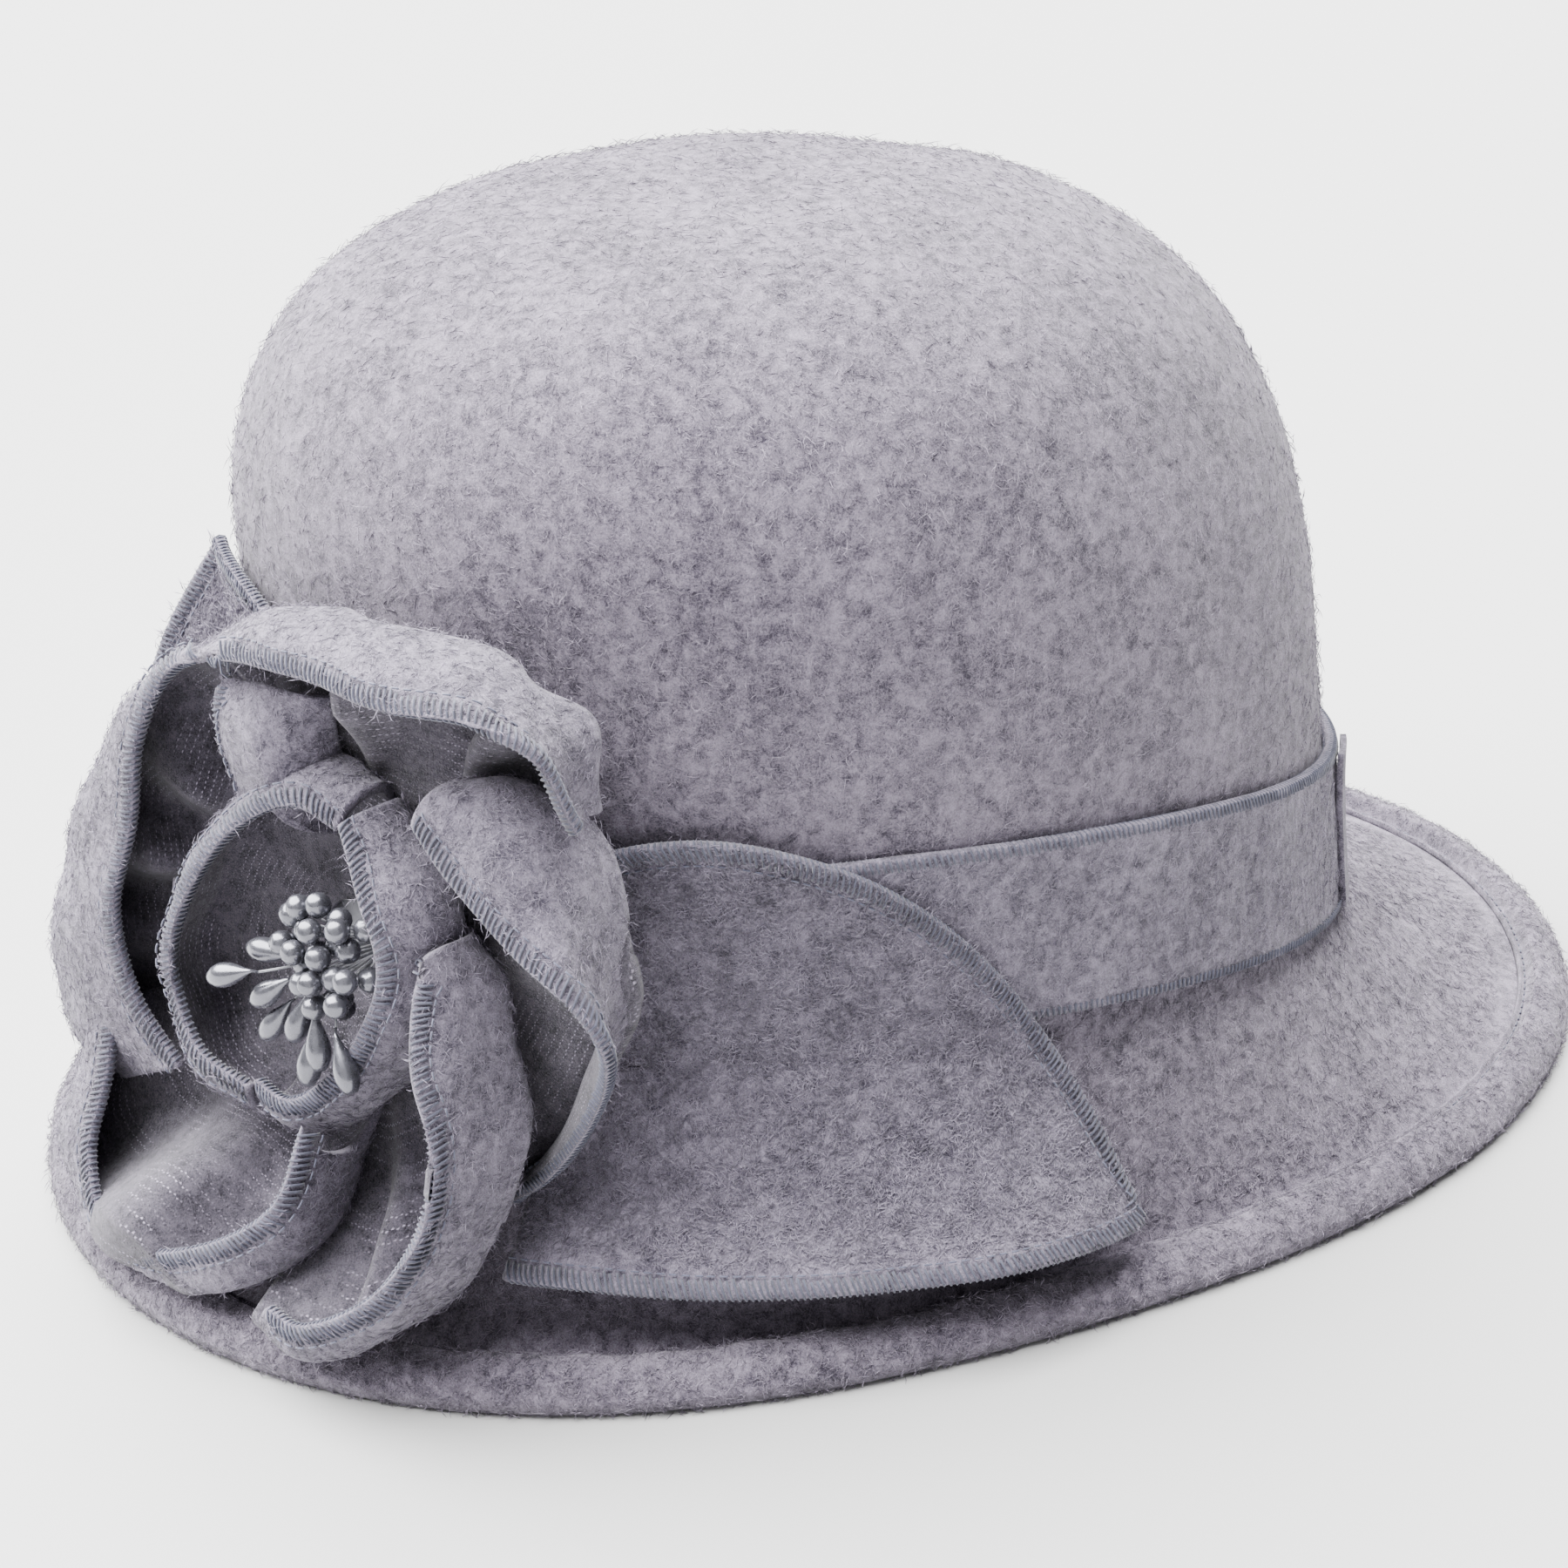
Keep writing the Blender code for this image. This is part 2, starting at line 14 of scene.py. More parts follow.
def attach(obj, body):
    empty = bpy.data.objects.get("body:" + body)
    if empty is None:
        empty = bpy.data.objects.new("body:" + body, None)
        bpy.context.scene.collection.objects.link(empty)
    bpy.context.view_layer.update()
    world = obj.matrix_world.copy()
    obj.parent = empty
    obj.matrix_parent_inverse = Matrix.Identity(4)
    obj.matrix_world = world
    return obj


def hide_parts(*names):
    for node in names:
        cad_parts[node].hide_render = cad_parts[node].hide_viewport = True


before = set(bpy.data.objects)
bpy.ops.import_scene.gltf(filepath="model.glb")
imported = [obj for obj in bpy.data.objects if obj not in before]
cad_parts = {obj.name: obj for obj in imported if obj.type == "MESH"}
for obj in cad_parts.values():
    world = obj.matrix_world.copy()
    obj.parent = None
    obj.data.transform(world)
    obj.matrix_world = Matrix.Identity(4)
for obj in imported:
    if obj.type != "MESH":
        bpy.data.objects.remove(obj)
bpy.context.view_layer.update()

bl_info = {
    "name": "Felt Cloche Hat",
    "version": (1, 0, 0),
    "blender": (4, 5, 0),
    "location": "3D View > Sidebar > Hat",
    "description": "Makes a grey wool felt cloche hat with a band, leaves and a fabric flower",
    "category": "Add Mesh",
}

# ------------------------------------------------------------------ the hat's own sizes, in metres

GAP = 0.0003
FELT = 0.003
HALF_LENGTH = 0.101
HALF_WIDTH = 0.087
BAND_FOOT = 0.0427
FOOT_TILT = 0.0067
FOOT_SADDLE = -0.0090
CROWN_HEIGHT = 0.1392
CROWN_SPREAD = 0.028
CROWN_SHOULDER = 5.12
CROWN_ROUND = 2.76
LEAN = 0.127
BRIM_WIDTH = 0.0419
BRIM_FRONT = 0.0064
BRIM_ENDS = 0.0164
BRIM_FLARE = 1.4
BRIM_FLATTENING = 1.15
BINDING = 0.0016
HEM_WIDTH = 0.0105
WIRE = 0.0012
BAND_HEIGHT = 0.0346
BAND = 0.002
LAP_ANGLE = 152.0
LAP_WIDTH = 0.016
SWEATBAND = 0.001
SWEATBAND_HEIGHT = 0.030
LEAF = 0.0018
LEAF_FROM = 43.0
LEAF_MIDDLE = 62.0
LEAF_HALF_ANGLE = 33.5
LEAF_TIP_HEIGHT = 0.012
LEAF_RISE = 0.082
FLOWER_THETA = 28.0
FLOWER_HEIGHT = 0.0671
FLOWER_TURN = 31.0
FLOWER_TILT = 10.0

CENTRE_Y = BRIM_FRONT - LEAN * BAND_FOOT
HEM_IN = HEM_WIDTH - (BINDING + WIRE + 2 * GAP)
FELT_EDGE = BINDING + 2 * GAP + FELT
BAND_OUT = GAP + BAND
LEAF_OUT = BAND_OUT + GAP + LEAF
HEAD_ROUND = np.pi * (HALF_LENGTH + HALF_WIDTH)
HAIR_RADIUS = 0.00008


# ------------------------------------------------------------------ what a user would change

class FeltSettings(bpy.types.PropertyGroup):
    color: FloatVectorProperty(
        name="Light wool", description="Colour of the felt's light fibres", subtype="COLOR",
        default=(0.212, 0.184, 0.238), min=0, max=1)
    shade: FloatVectorProperty(
        name="Dark wool", description="Colour of the felt's dark fibres", subtype="COLOR",
        default=(0.021, 0.016, 0.029), min=0, max=1)
    mottle: FloatProperty(
        name="Mottle", description="Size of the felt's light and dark patches", subtype="DISTANCE",
        unit="LENGTH", default=0.0026, min=0.001, max=0.02)
    nap_length: FloatProperty(
        name="Nap length", description="Length of the loose wool hairs on the felt", subtype="DISTANCE",
        unit="LENGTH", default=0.0034, min=0.0005, max=0.006)
    nap_hairs: IntProperty(
        name="Nap hairs", description="How many loose hairs stand on the crown, and as many on the brim",
        default=33000, min=0, max=33000)


class KnitSettings(bpy.types.PropertyGroup):
    color: FloatVectorProperty(
        name="Light yarn", description="Colour of the boiled wool's light fibres", subtype="COLOR",
        default=(0.225, 0.199, 0.260), min=0, max=1)
    shade: FloatVectorProperty(
        name="Dark yarn", description="Colour of the boiled wool's dark fibres", subtype="COLOR",
        default=(0.024, 0.0195, 0.034), min=0, max=1)
    loop: FloatProperty(
        name="Knit loop", description="Distance between the loops on the knit's wrong side",
        subtype="DISTANCE", unit="LENGTH", default=0.0016, min=0.0005, max=0.005)
    nap_length: FloatProperty(
        name="Nap length", description="Length of the loose hairs on band, leaves and petals",
        subtype="DISTANCE", unit="LENGTH", default=0.0030, min=0.0005, max=0.006)
    nap_hairs: IntProperty(
        name="Nap hairs", description="How many loose hairs stand on the leaves, and as many on the petals",
        default=33000, min=0, max=33000)


class ThreadSettings(bpy.types.PropertyGroup):
    color: FloatVectorProperty(
        name="Thread", description="Colour of the edging thread", subtype="COLOR",
        default=(0.050, 0.051, 0.076), min=0, max=1)
    pitch: FloatProperty(
        name="Stitch pitch", description="Distance from one edging stitch to the next", subtype="DISTANCE",
        unit="LENGTH", default=0.0011, min=0.0005, max=0.004)
    width: FloatProperty(
        name="Stitch width", description="How far an edging stitch reaches in from the edge",
        subtype="DISTANCE", unit="LENGTH", default=0.0031, min=0.001, max=0.008)
    thickness: FloatProperty(
        name="Thread thickness", description="Diameter of the edging thread", subtype="DISTANCE",
        unit="LENGTH", default=0.00055, min=0.0002, max=0.0015)


class FlowerSettings(bpy.types.PropertyGroup):
    cloth: FloatProperty(
        name="Petal cloth", description="Thickness of the petals' cloth", subtype="DISTANCE", unit="LENGTH",
        default=0.0018, min=0.0005, max=0.004)
    stamens: IntProperty(
        name="Stamens", description="How many stamens the flower has", default=34, min=3, max=60)
    pearl: FloatVectorProperty(
        name="Pearl", description="Colour of the stamens' lacquer", subtype="COLOR",
        default=(0.115, 0.115, 0.135), min=0, max=1)


class StudioSettings(bpy.types.PropertyGroup):
    floor: FloatVectorProperty(
        name="Floor", description="Colour of the floor", subtype="COLOR",
        default=(0.38, 0.38, 0.38), min=0, max=1)
    surround: FloatProperty(
        name="Surround", description="Brightness of the white room round the hat", default=0.28, min=0, max=5)
    overhead: FloatProperty(
        name="Overhead light", description="Strength of the wide soft light above and behind", default=36.0,
        min=0, max=50)


SETTINGS = {"hat_felt": FeltSettings, "hat_knit": KnitSettings, "hat_thread": ThreadSettings,
            "hat_flower": FlowerSettings, "hat_studio": StudioSettings}


# ------------------------------------------------------------------ the hat's own shape

def foot(theta):
    """Height of the band's foot: a level, plus one cosine round the hat and one of twice the angle."""
    return BAND_FOOT + FOOT_TILT * np.cos(theta) + FOOT_SADDLE * np.cos(2 * theta)


def brim_width(theta):
    """Reach of the brim: a width, plus one cosine round the hat and one of twice the angle."""
    return BRIM_WIDTH + BRIM_FRONT * np.cos(theta) + BRIM_ENDS * np.cos(2 * theta)


def down_brim(theta, z):
    """0 on the crown, growing to 1 at the hem: the share of the drop from foot to hem, to a power."""
    dropped = np.clip((foot(theta) - z) / (foot(theta) - FELT_EDGE), 0, 1)
    return 1 - (1 - dropped) ** (1 / BRIM_FLATTENING)


def flare(theta, t):
    """(reach, height) of the brim: powers of t up to 1, where it is level, and level on from 1 to 2."""
    slope, level = np.clip(t, 0, 1), np.clip(t - 1, 0, 1)
    reach = (brim_width(theta) - HEM_WIDTH) * slope ** BRIM_FLARE + HEM_IN * level
    return reach, FELT_EDGE + (foot(theta) - FELT_EDGE) * (1 - slope) ** BRIM_FLATTENING


def facing(theta, t):
    """(outwards, upwards) of the felt: the slope of flare, turned a quarter and made one long."""
    slope = np.clip(t, 0, 1)
    fall = (foot(theta) - FELT_EDGE) * BRIM_FLATTENING * (1 - slope) ** (BRIM_FLATTENING - 1)
    reach = (brim_width(theta) - HEM_WIDTH) * BRIM_FLARE * slope ** (BRIM_FLARE - 1)
    return fall / np.hypot(fall, reach), reach / np.hypot(fall, reach)


def oval_scale(theta, z):
    """Share of the head oval at a height: it spreads a little and closes like a superellipse."""
    u = np.clip((z - foot(theta)) / (BAND_FOOT + CROWN_HEIGHT - foot(theta)), 0, 1)
    return (1 + CROWN_SPREAD * u) * (1 - u ** CROWN_SHOULDER) ** (1 / CROWN_ROUND)


def sideways(theta):
    """Unit vector (x, y) straight out from the head oval: the ellipse's normal."""
    long = np.hypot(HALF_LENGTH * np.sin(theta), HALF_WIDTH * np.cos(theta))
    return HALF_LENGTH * np.sin(theta) / long, -HALF_WIDTH * np.cos(theta) / long


def oval(theta, z, scale, out):
    """The head ellipse scaled, pushed out along its normal, and moved forward in step with height."""
    across, ahead = sideways(theta)
    x = HALF_WIDTH * scale * np.sin(theta) + out * across
    y = -HALF_LENGTH * scale * np.cos(theta) + out * ahead - LEAN * (z - BAND_FOOT) + CENTRE_Y
    return np.stack(np.broadcast_arrays(x, y, z), -1)


def on_brim(theta, t, out=0.0):
    """The brim's upper face at t, moved off along the felt's normal."""
    theta, t = np.broadcast_arrays(theta, t)
    reach, z = flare(theta, t)
    outwards, upwards = facing(theta, t)
    return oval(theta, z + out * upwards, 1.0, reach + out * outwards)


def on_felt(theta, z, out=0.0):
    """The felt's outer face at a height, on the crown or the brim, moved off along its normal."""
    theta, z = np.broadcast_arrays(theta, z)
    on_crown = oval(theta, z, oval_scale(theta, z), out)
    return np.where((z < foot(theta))[..., None], on_brim(theta, down_brim(theta, z), out), on_crown)


def lift_off(points, clear):
    """Points nearer to the felt than clear, moved straight off it.

    Six rounds of one step each: find the nearest theta by walking round the oval, then the distance along the
    felt's normal there, and make up what is missing of it.
    """
    moved = points.copy()
    for _ in range(6):
        x, z = moved[..., 0], moved[..., 2]
        y = moved[..., 1] + LEAN * (z - BAND_FOOT) - CENTRE_Y
        theta = np.arctan2(x / HALF_WIDTH, -y / HALF_LENGTH)
        for _ in range(5):
            scale = np.maximum(oval_scale(theta, z), 0.05)
            across, ahead = sideways(theta)
            wide, long = HALF_WIDTH * scale, HALF_LENGTH * scale
            out = (x - wide * np.sin(theta)) * across + (y + long * np.cos(theta)) * ahead
            theta = np.arctan2((x - out * across) / wide, (out * ahead - y) / long)
        t = down_brim(theta, z)
        outwards, upwards = facing(theta, t)
        off = (out - flare(theta, t)[0]) * outwards + (z - flare(theta, t)[1]) * upwards
        step = np.maximum(clear - off, 0)
        moved[..., 0] += step * outwards * across
        moved[..., 1] += step * outwards * ahead - LEAN * step * upwards
        moved[..., 2] += step * upwards
    return moved


# ------------------------------------------------------------------ curves, lumps and frames

def through(points, count):
    """A Catmull-Rom curve: cubics through the points, each leaving along half the step across its point."""
    points = np.array(points, float)
    ends = np.vstack([2 * points[0] - points[1], points, 2 * points[-1] - points[-2]])
    at = np.linspace(0, len(points) - 1, count)
    i = np.minimum(at.astype(int), len(points) - 2)
    t = (at - i)[:, None]
    a, b, c, d = (ends[i + k] for k in range(4))
    bend = a - 2.5 * b + 2 * c - d / 2
    twist = 1.5 * (b - c) + (d - a) / 2
    return b + t * (c - a) / 2 + t ** 2 * bend + t ** 3 * twist


def lumps(points, size, seed):
    """Smooth lumps from -1 to 1: the mean of sines across seven directions, each about size long."""
    directions = 7
    ways = np.random.default_rng(seed).normal(size=(directions, 3))
    ways *= 2 * np.pi / size / np.linalg.norm(ways, axis=1, keepdims=True)
    phase = np.arange(directions) * 1.7
    return np.sin(points @ ways.T + phase).mean(-1) * 1.6


def unit(vectors):
    """Each vector over its own length."""
    return vectors / np.maximum(np.linalg.norm(vectors, axis=-1, keepdims=True), 1e-12)


def round_ring(count):
    """Angles round the hat, evenly apart, without the last one that would meet the first."""
    return np.linspace(0, 2 * np.pi, count, endpoint=False)


def along_line(line):
    """Length run along a line of points, at each of them."""
    return np.r_[0, np.cumsum(np.linalg.norm(np.diff(line, axis=0), axis=1))]


def grid_normals(grid):
    """Normals of a grid: the cross product of its steps along columns and along rows."""
    return unit(np.cross(np.gradient(grid, axis=1), np.gradient(grid, axis=0)))


def roughened(grid, height, size, seed):
    """A grid with lumps of a height and size along its normals."""
    return grid + grid_normals(grid) * (height * lumps(grid, size, seed))[..., None]


# ------------------------------------------------------------------ making pieces

def grid_faces(rows, columns, wrap=False, wrap_rows=False):
    """Quads between rows and columns; wrap joins last column to first, wrap_rows last row to first."""
    r = np.arange(rows if wrap_rows else rows - 1)[:, None]
    c = np.arange(columns if wrap else columns - 1)[None, :]
    up, right = (r + 1) % rows, (c + 1) % columns
    corners = (r * columns + c, r * columns + right, up * columns + right, up * columns + c)
    return np.stack(np.broadcast_arrays(*corners), -1).reshape(-1, 4)


def volume(points, faces):
    """Signed volume of a closed shape: the sum over its faces of the corners' triple products."""
    first = points[faces[:, 0]]
    return sum((np.cross(points[faces[:, k]], points[faces[:, k + 1]]) * first).sum()
               for k in range(1, faces.shape[1] - 1))


def add_piece(name, points, faces, finishes, slot, replaces=(), uv=None):
    """An object from points and faces, riding on the hat, with its finishes; slot is not used."""
    mesh = bpy.data.meshes.new(name)
    mesh.from_pydata(np.asarray(points).tolist(), [], faces if isinstance(faces, list) else faces.tolist())
    for finish in finishes:
        mesh.materials.append(finish)
    if uv is not None:
        corner = np.empty(len(mesh.loops), int)
        mesh.loops.foreach_get("vertex_index", corner)
        mesh.uv_layers.new(name="cloth").data.foreach_set("uv", uv.reshape(-1, 2)[corner].ravel())
    mesh.shade_smooth()
    piece = bpy.data.objects.new(name, mesh)
    bpy.context.scene.collection.objects.link(piece)
    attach(piece, "root")
    if replaces:
        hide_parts(*replaces)
    return piece


def closed_piece(name, points, faces, finishes, slot, replaces=(), uv=None):
    """A closed shape, turned right side out by the sign of its volume."""
    if volume(points, faces) < 0:
        faces = faces[:, ::-1]
    return add_piece(name, points, faces, finishes, slot, replaces, uv)


def cloth_uv(grid):
    """Lengths along and up a grid, in metres, as its pattern's coordinates."""
    steps = np.linalg.norm(np.diff(grid, axis=1), axis=2).mean(0)
    rises = np.linalg.norm(np.diff(grid, axis=0), axis=2).mean(1)
    u, v = np.r_[0, np.cumsum(steps)], np.r_[0, np.cumsum(rises)]
    return np.stack(np.broadcast_arrays(u[None, :], v[:, None]), -1)


def facing_away(grid, inside):
    """The grid with its columns in the order that turns its faces away from a place."""
    return grid if (grid_normals(grid) * (grid - inside)).sum() > 0 else grid[:, ::-1]


def cloth(name, grid, thickness, finishes, slot, inside, replaces=()):
    """A sheet of cloth from a grid, its right side facing away from inside, thickened by Solidify."""
    rows, columns = grid.shape[:2]
    grid = facing_away(grid, inside)
    faces = grid_faces(rows, columns)
    piece = add_piece(name, grid.reshape(-1, 3), faces, finishes, slot, replaces, cloth_uv(grid))
    wall = piece.modifiers.new("cloth", "SOLIDIFY")
    wall.thickness = thickness
    wall.offset = 0
    # The inner shell takes the last finish: on leaves and petals, the knit's wrong side in painted shade.
    wall.material_offset = len(finishes) - 1
    return piece


def tubes(paths, radius, sides):
    """Round threads along many paths at once: circles square to each path, of a radius that may change."""
    paths = np.asarray(paths, float)
    count, steps = paths.shape[:2]
    along = unit(np.gradient(paths, axis=1))
    chord = unit(paths[:, -1:] - paths[:, :1])
    helper = np.where(np.abs(chord[..., 2:]) > 0.8, (1.0, 0, 0), (0, 0, 1.0))
    side = unit(np.cross(along, helper))
    other = np.cross(along, side)
    turn = np.linspace(0, 2 * np.pi, sides, endpoint=False)[:, None]
    circle = side[:, :, None] * np.cos(turn) + other[:, :, None] * np.sin(turn)
    radius = np.broadcast_to(radius, (count, steps))[..., None, None]
    points = (paths[:, :, None] + radius * circle).reshape(-1, 3)
    walls = grid_faces(steps, sides, wrap=True)
    start = (np.arange(count) * steps * sides)[:, None, None]
    faces = (start + walls).reshape(-1, 4).tolist()
    first, last = np.arange(sides)[::-1], np.arange(sides) + (steps - 1) * sides
    faces += (start[:, 0] + first).tolist() + (start[:, 0] + last).tolist()
    return points, faces


def add_tubes(name, paths, radius, sides, finish_name, slot, replaces):
    """A piece made of threads along many paths."""
    return add_piece(name, *tubes(paths, radius, sides), [finish(finish_name)], slot, replaces)


def dashes(count, dash):
    """Angles of stitches round the hat: each stitch is a dash, given as shares of the stitches' spacing."""
    return round_ring(count)[:, None] + dash * 2 * np.pi / count


# ------------------------------------------------------------------ finishes

class Wire:
    """A node's output in an expression: each operator adds the Math node that does it."""

    def __init__(self, recipe, socket):
        self.recipe, self.socket = recipe, socket

    def math(self, operation, *others):
        """A Math node of that operation, with this wire first."""
        return self.recipe.node("ShaderNodeMath", {"operation": operation}, dict(enumerate((self, *others))))

    def __add__(self, other):
        return self.math("ADD", other)

    def __sub__(self, other):
        return self.math("SUBTRACT", other)

    def __mul__(self, other):
        return self.math("MULTIPLY", other)

    def __truediv__(self, other):
        return self.math("DIVIDE", other)

    def __rsub__(self, other):
        return self.recipe.node("ShaderNodeMath", {"operation": "SUBTRACT"}, {0: other, 1: self})

    __radd__ = __add__
    __rmul__ = __mul__

    def clamped(self):
        """Held between 0 and 1."""
        return self.math("MAXIMUM", 0.0).math("MINIMUM", 1.0)


class Recipe:
    """A material whose nodes are added one by one, and whose surface shader takes constants and wires."""

    def __init__(self, name, **constants):
        self.material = bpy.data.materials.new(name)
        self.material.use_nodes = True
        self.tree = self.material.node_tree
        self.shader = self.tree.nodes["Principled BSDF"]
        for socket, value in constants.items():
            self.shader.inputs[socket.replace("_", " ")].default_value = value

    def node(self, kind, settings=None, sockets=None, output=0):
        """Adds a node: its settings first, then the values or wires of its sockets; gives one output."""
        made = self.tree.nodes.new(kind)
        for name, value in (settings or {}).items():
            setattr(made, name, value)
        for name, value in (sockets or {}).items():
            self.feed(made.inputs[name], value)
        return Wire(self, made.outputs[output])

    def feed(self, socket, value):
        """Links a wire to a socket, or sets the socket to a constant."""
        if isinstance(value, Wire):
            self.tree.links.new(value.socket, socket)
        else:
            socket.default_value = value

    def place(self):
        """Where a point is on the piece, in metres."""
        return self.node("ShaderNodeTexCoord", output=3)

    def noise(self, place, size, detail=2.0, roughness=0.5, distortion=0.0):
        """Noise whose lumps are about size metres across."""
        sockets = {"Vector": place, "Scale": 1 / size, "Detail": detail, "Roughness": roughness,
                   "Distortion": distortion}
        return self.node("ShaderNodeTexNoise", {}, sockets)

    def mix(self, share, first, second):
        """A colour between two colours."""
        return self.node("ShaderNodeMix", {"data_type": "RGBA"}, {0: share, 6: first, 7: second}, output=2)

    def surface(self, height=None, depth=0.0005, strength=1.0, **wires):
        """Feeds the shader; height goes in through a Bump."""
        if height is not None:
            sockets = {"Strength": strength, "Distance": depth, "Height": height}
            self.feed(self.shader.inputs["Normal"], self.node("ShaderNodeBump", {}, sockets))
        for socket, value in wires.items():
            self.feed(self.shader.inputs[socket.replace("_", " ")], value)
        return self.material


def colour(rgb, by=1.0):
    """A colour times a number, opaque."""
    return (rgb[0] * by, rgb[1] * by, rgb[2] * by, 1.0)


def fibres(recipe, place, size, width):
    """Thin winding lines: where a twisted noise crosses its middle value, within a width."""
    noise = recipe.noise(place, size, detail=1.5, distortion=2.2)
    return (1.0 - (noise - 0.5).math("ABSOLUTE") / width).clamped()


def wool(name, light, dark, mottle, coarse, extra=None, darken=1.0):
    """Heathered wool: dark and light patches, winding fibres in both colours, and a fuzzy relief."""
    recipe = Recipe(name, Roughness=0.95, Sheen_Weight=0.2, Sheen_Roughness=0.55, Specular_IOR_Level=0.2)
    place = recipe.place()
    patches = recipe.noise(place, mottle, detail=4.0, roughness=0.6, distortion=0.4)
    clouds = recipe.noise(place, mottle * 7, detail=2.0)
    grain = recipe.noise(place, mottle / 7, detail=3.0, roughness=0.7, distortion=0.3)
    pale = fibres(recipe, place, coarse, 0.028)
    fine = fibres(recipe, place, coarse * 0.55, 0.045)
    deep = fibres(recipe, place, coarse * 0.9, 0.035)
    share = (patches - 0.5) * 1.9 + (clouds - 0.5) * 0.6 + (grain - 0.5) * 1.7 + 0.47
    share = (share + pale * 0.40 + fine * 0.28 - deep * 0.30).clamped()
    base = recipe.mix(share, colour(dark, darken), colour(light, darken))
    height = patches * 0.4 + grain * 0.5 + pale * 0.5 + fine * 0.35
    if extra:
        base, height = extra(recipe, base, height)
    return recipe.surface(height, depth=0.0007, strength=0.55, Base_Color=base)


def uv_lines(recipe, pitch, output):
    """One of the cloth's two coordinates, and a wave along it: 1 to 0 and back in each pitch."""
    place = recipe.node("ShaderNodeUVMap", {"uv_map": "cloth"})
    parts = recipe.node("ShaderNodeSeparateXYZ", {}, {0: place}, output=output)
    return parts, ((parts / pitch).math("FRACT") - 0.5).math("ABSOLUTE") * 2.0


def ribbed(loop):
    """Adds the knit's faint upright ribs to the relief."""
    def add(recipe, base, height):
        _, wave = uv_lines(recipe, loop, 0)
        _, rows = uv_lines(recipe, loop * 0.8, 1)
        return base, height + wave * 0.35 + rows * 0.12
    return add


def looped(loop, light):
    """Adds the wrong side's rows of pale loops, which stand half a step over in every other row."""
    def add(recipe, base, height):
        u, _ = uv_lines(recipe, loop, 0)
        v, rows = uv_lines(recipe, loop, 1)
        shift = (v / (2 * loop)).math("FRACT").math("GREATER_THAN", 0.5) * 0.5
        columns = ((u / loop + shift).math("FRACT") - 0.5).math("ABSOLUTE") * 2.0
        away = (columns * columns + (1.0 - rows) * (1.0 - rows)).math("SQRT")
        dots = (1.5 - away * 4.0).clamped()
        worn = recipe.noise(recipe.place(), loop * 5)
        shown = (dots * ((worn - 0.44) * 6.0).clamped()).clamped()
        return recipe.mix(shown, base, colour(light, 1.7)), height + dots * 0.8
    return add


def twisted(name, color, pitch):
    """Thread: fine slanted strands in two tones, with a soft shine."""
    recipe = Recipe(name, Roughness=0.7, Sheen_Weight=0.25, Specular_IOR_Level=0.25)
    place = recipe.place()
    strands = recipe.noise(place, pitch, detail=3.0, distortion=0.6)
    tones = recipe.noise(place, pitch * 14, detail=1.0)
    share = ((strands - 0.5) * 1.8 + (tones - 0.5) * 1.2 + 0.5).clamped()
    base = recipe.mix(share, colour(color, 0.72), colour(color, 1.45))
    return recipe.surface(strands, depth=0.0002, strength=0.6, Base_Color=base)


def grosgrain(name, color):
    """Ribbon: fine upright ribs with a dull shine."""
    recipe = Recipe(name, Roughness=0.6, Sheen_Weight=0.15)
    _, wave = uv_lines(recipe, 0.0008, 0)
    place = recipe.place()
    wear = recipe.noise(place, 0.006, detail=3.0)
    base = recipe.mix((wave * 0.7 + wear * 0.3).clamped(), colour(color, 0.6), colour(color, 1.5))
    return recipe.surface(wave, depth=0.0003, strength=0.8, Base_Color=base)


def pearl(name, color):
    """Lacquer with a pearly sheen: cloudy tones under a clear coat, with a painted sheen that lightens the
    colour where the surface is seen edge-on.
    """
    recipe = Recipe(name, Metallic=0.75, Coat_Weight=0.5, Coat_Roughness=0.12)
    place = recipe.place()
    clouds = recipe.noise(place, 0.0011, detail=3.0, distortion=0.4)
    # Painted sheen: the facing weight lightens the base colour towards the silhouette.
    rim = recipe.node("ShaderNodeLayerWeight", {}, {"Blend": 0.35}, output=1)
    base = recipe.mix((clouds * 0.7 + rim * 0.45).clamped(), colour(color, 0.75), colour(color, 1.55))
    return recipe.surface(clouds, depth=0.0001, strength=0.3, Base_Color=base, Roughness=clouds * 0.2 + 0.18)


def drawn_steel(name):
    """Wire: fine scratches in two greys."""
    recipe = Recipe(name, Metallic=1.0)
    place = recipe.place()
    marks = recipe.noise(place, 0.0008, detail=4.0)
    base = recipe.mix(marks, (0.35, 0.35, 0.36, 1), (0.62, 0.62, 0.63, 1))
    return recipe.surface(Base_Color=base, Roughness=marks * 0.3 + 0.25)


def stiffened(name, color):
    """Stiffened felt: wool pressed hard, slightly glossy with size."""
    recipe = Recipe(name, Specular_IOR_Level=0.4)
    place = recipe.place()
    patches = recipe.noise(place, 0.0015, detail=4.0)
    base = recipe.mix(patches, colour(color, 0.6), colour(color, 1.3))
    dull = patches * 0.3 + 0.55
    return recipe.surface(patches, depth=0.0003, strength=0.5, Base_Color=base, Roughness=dull)


FINISHES = {}


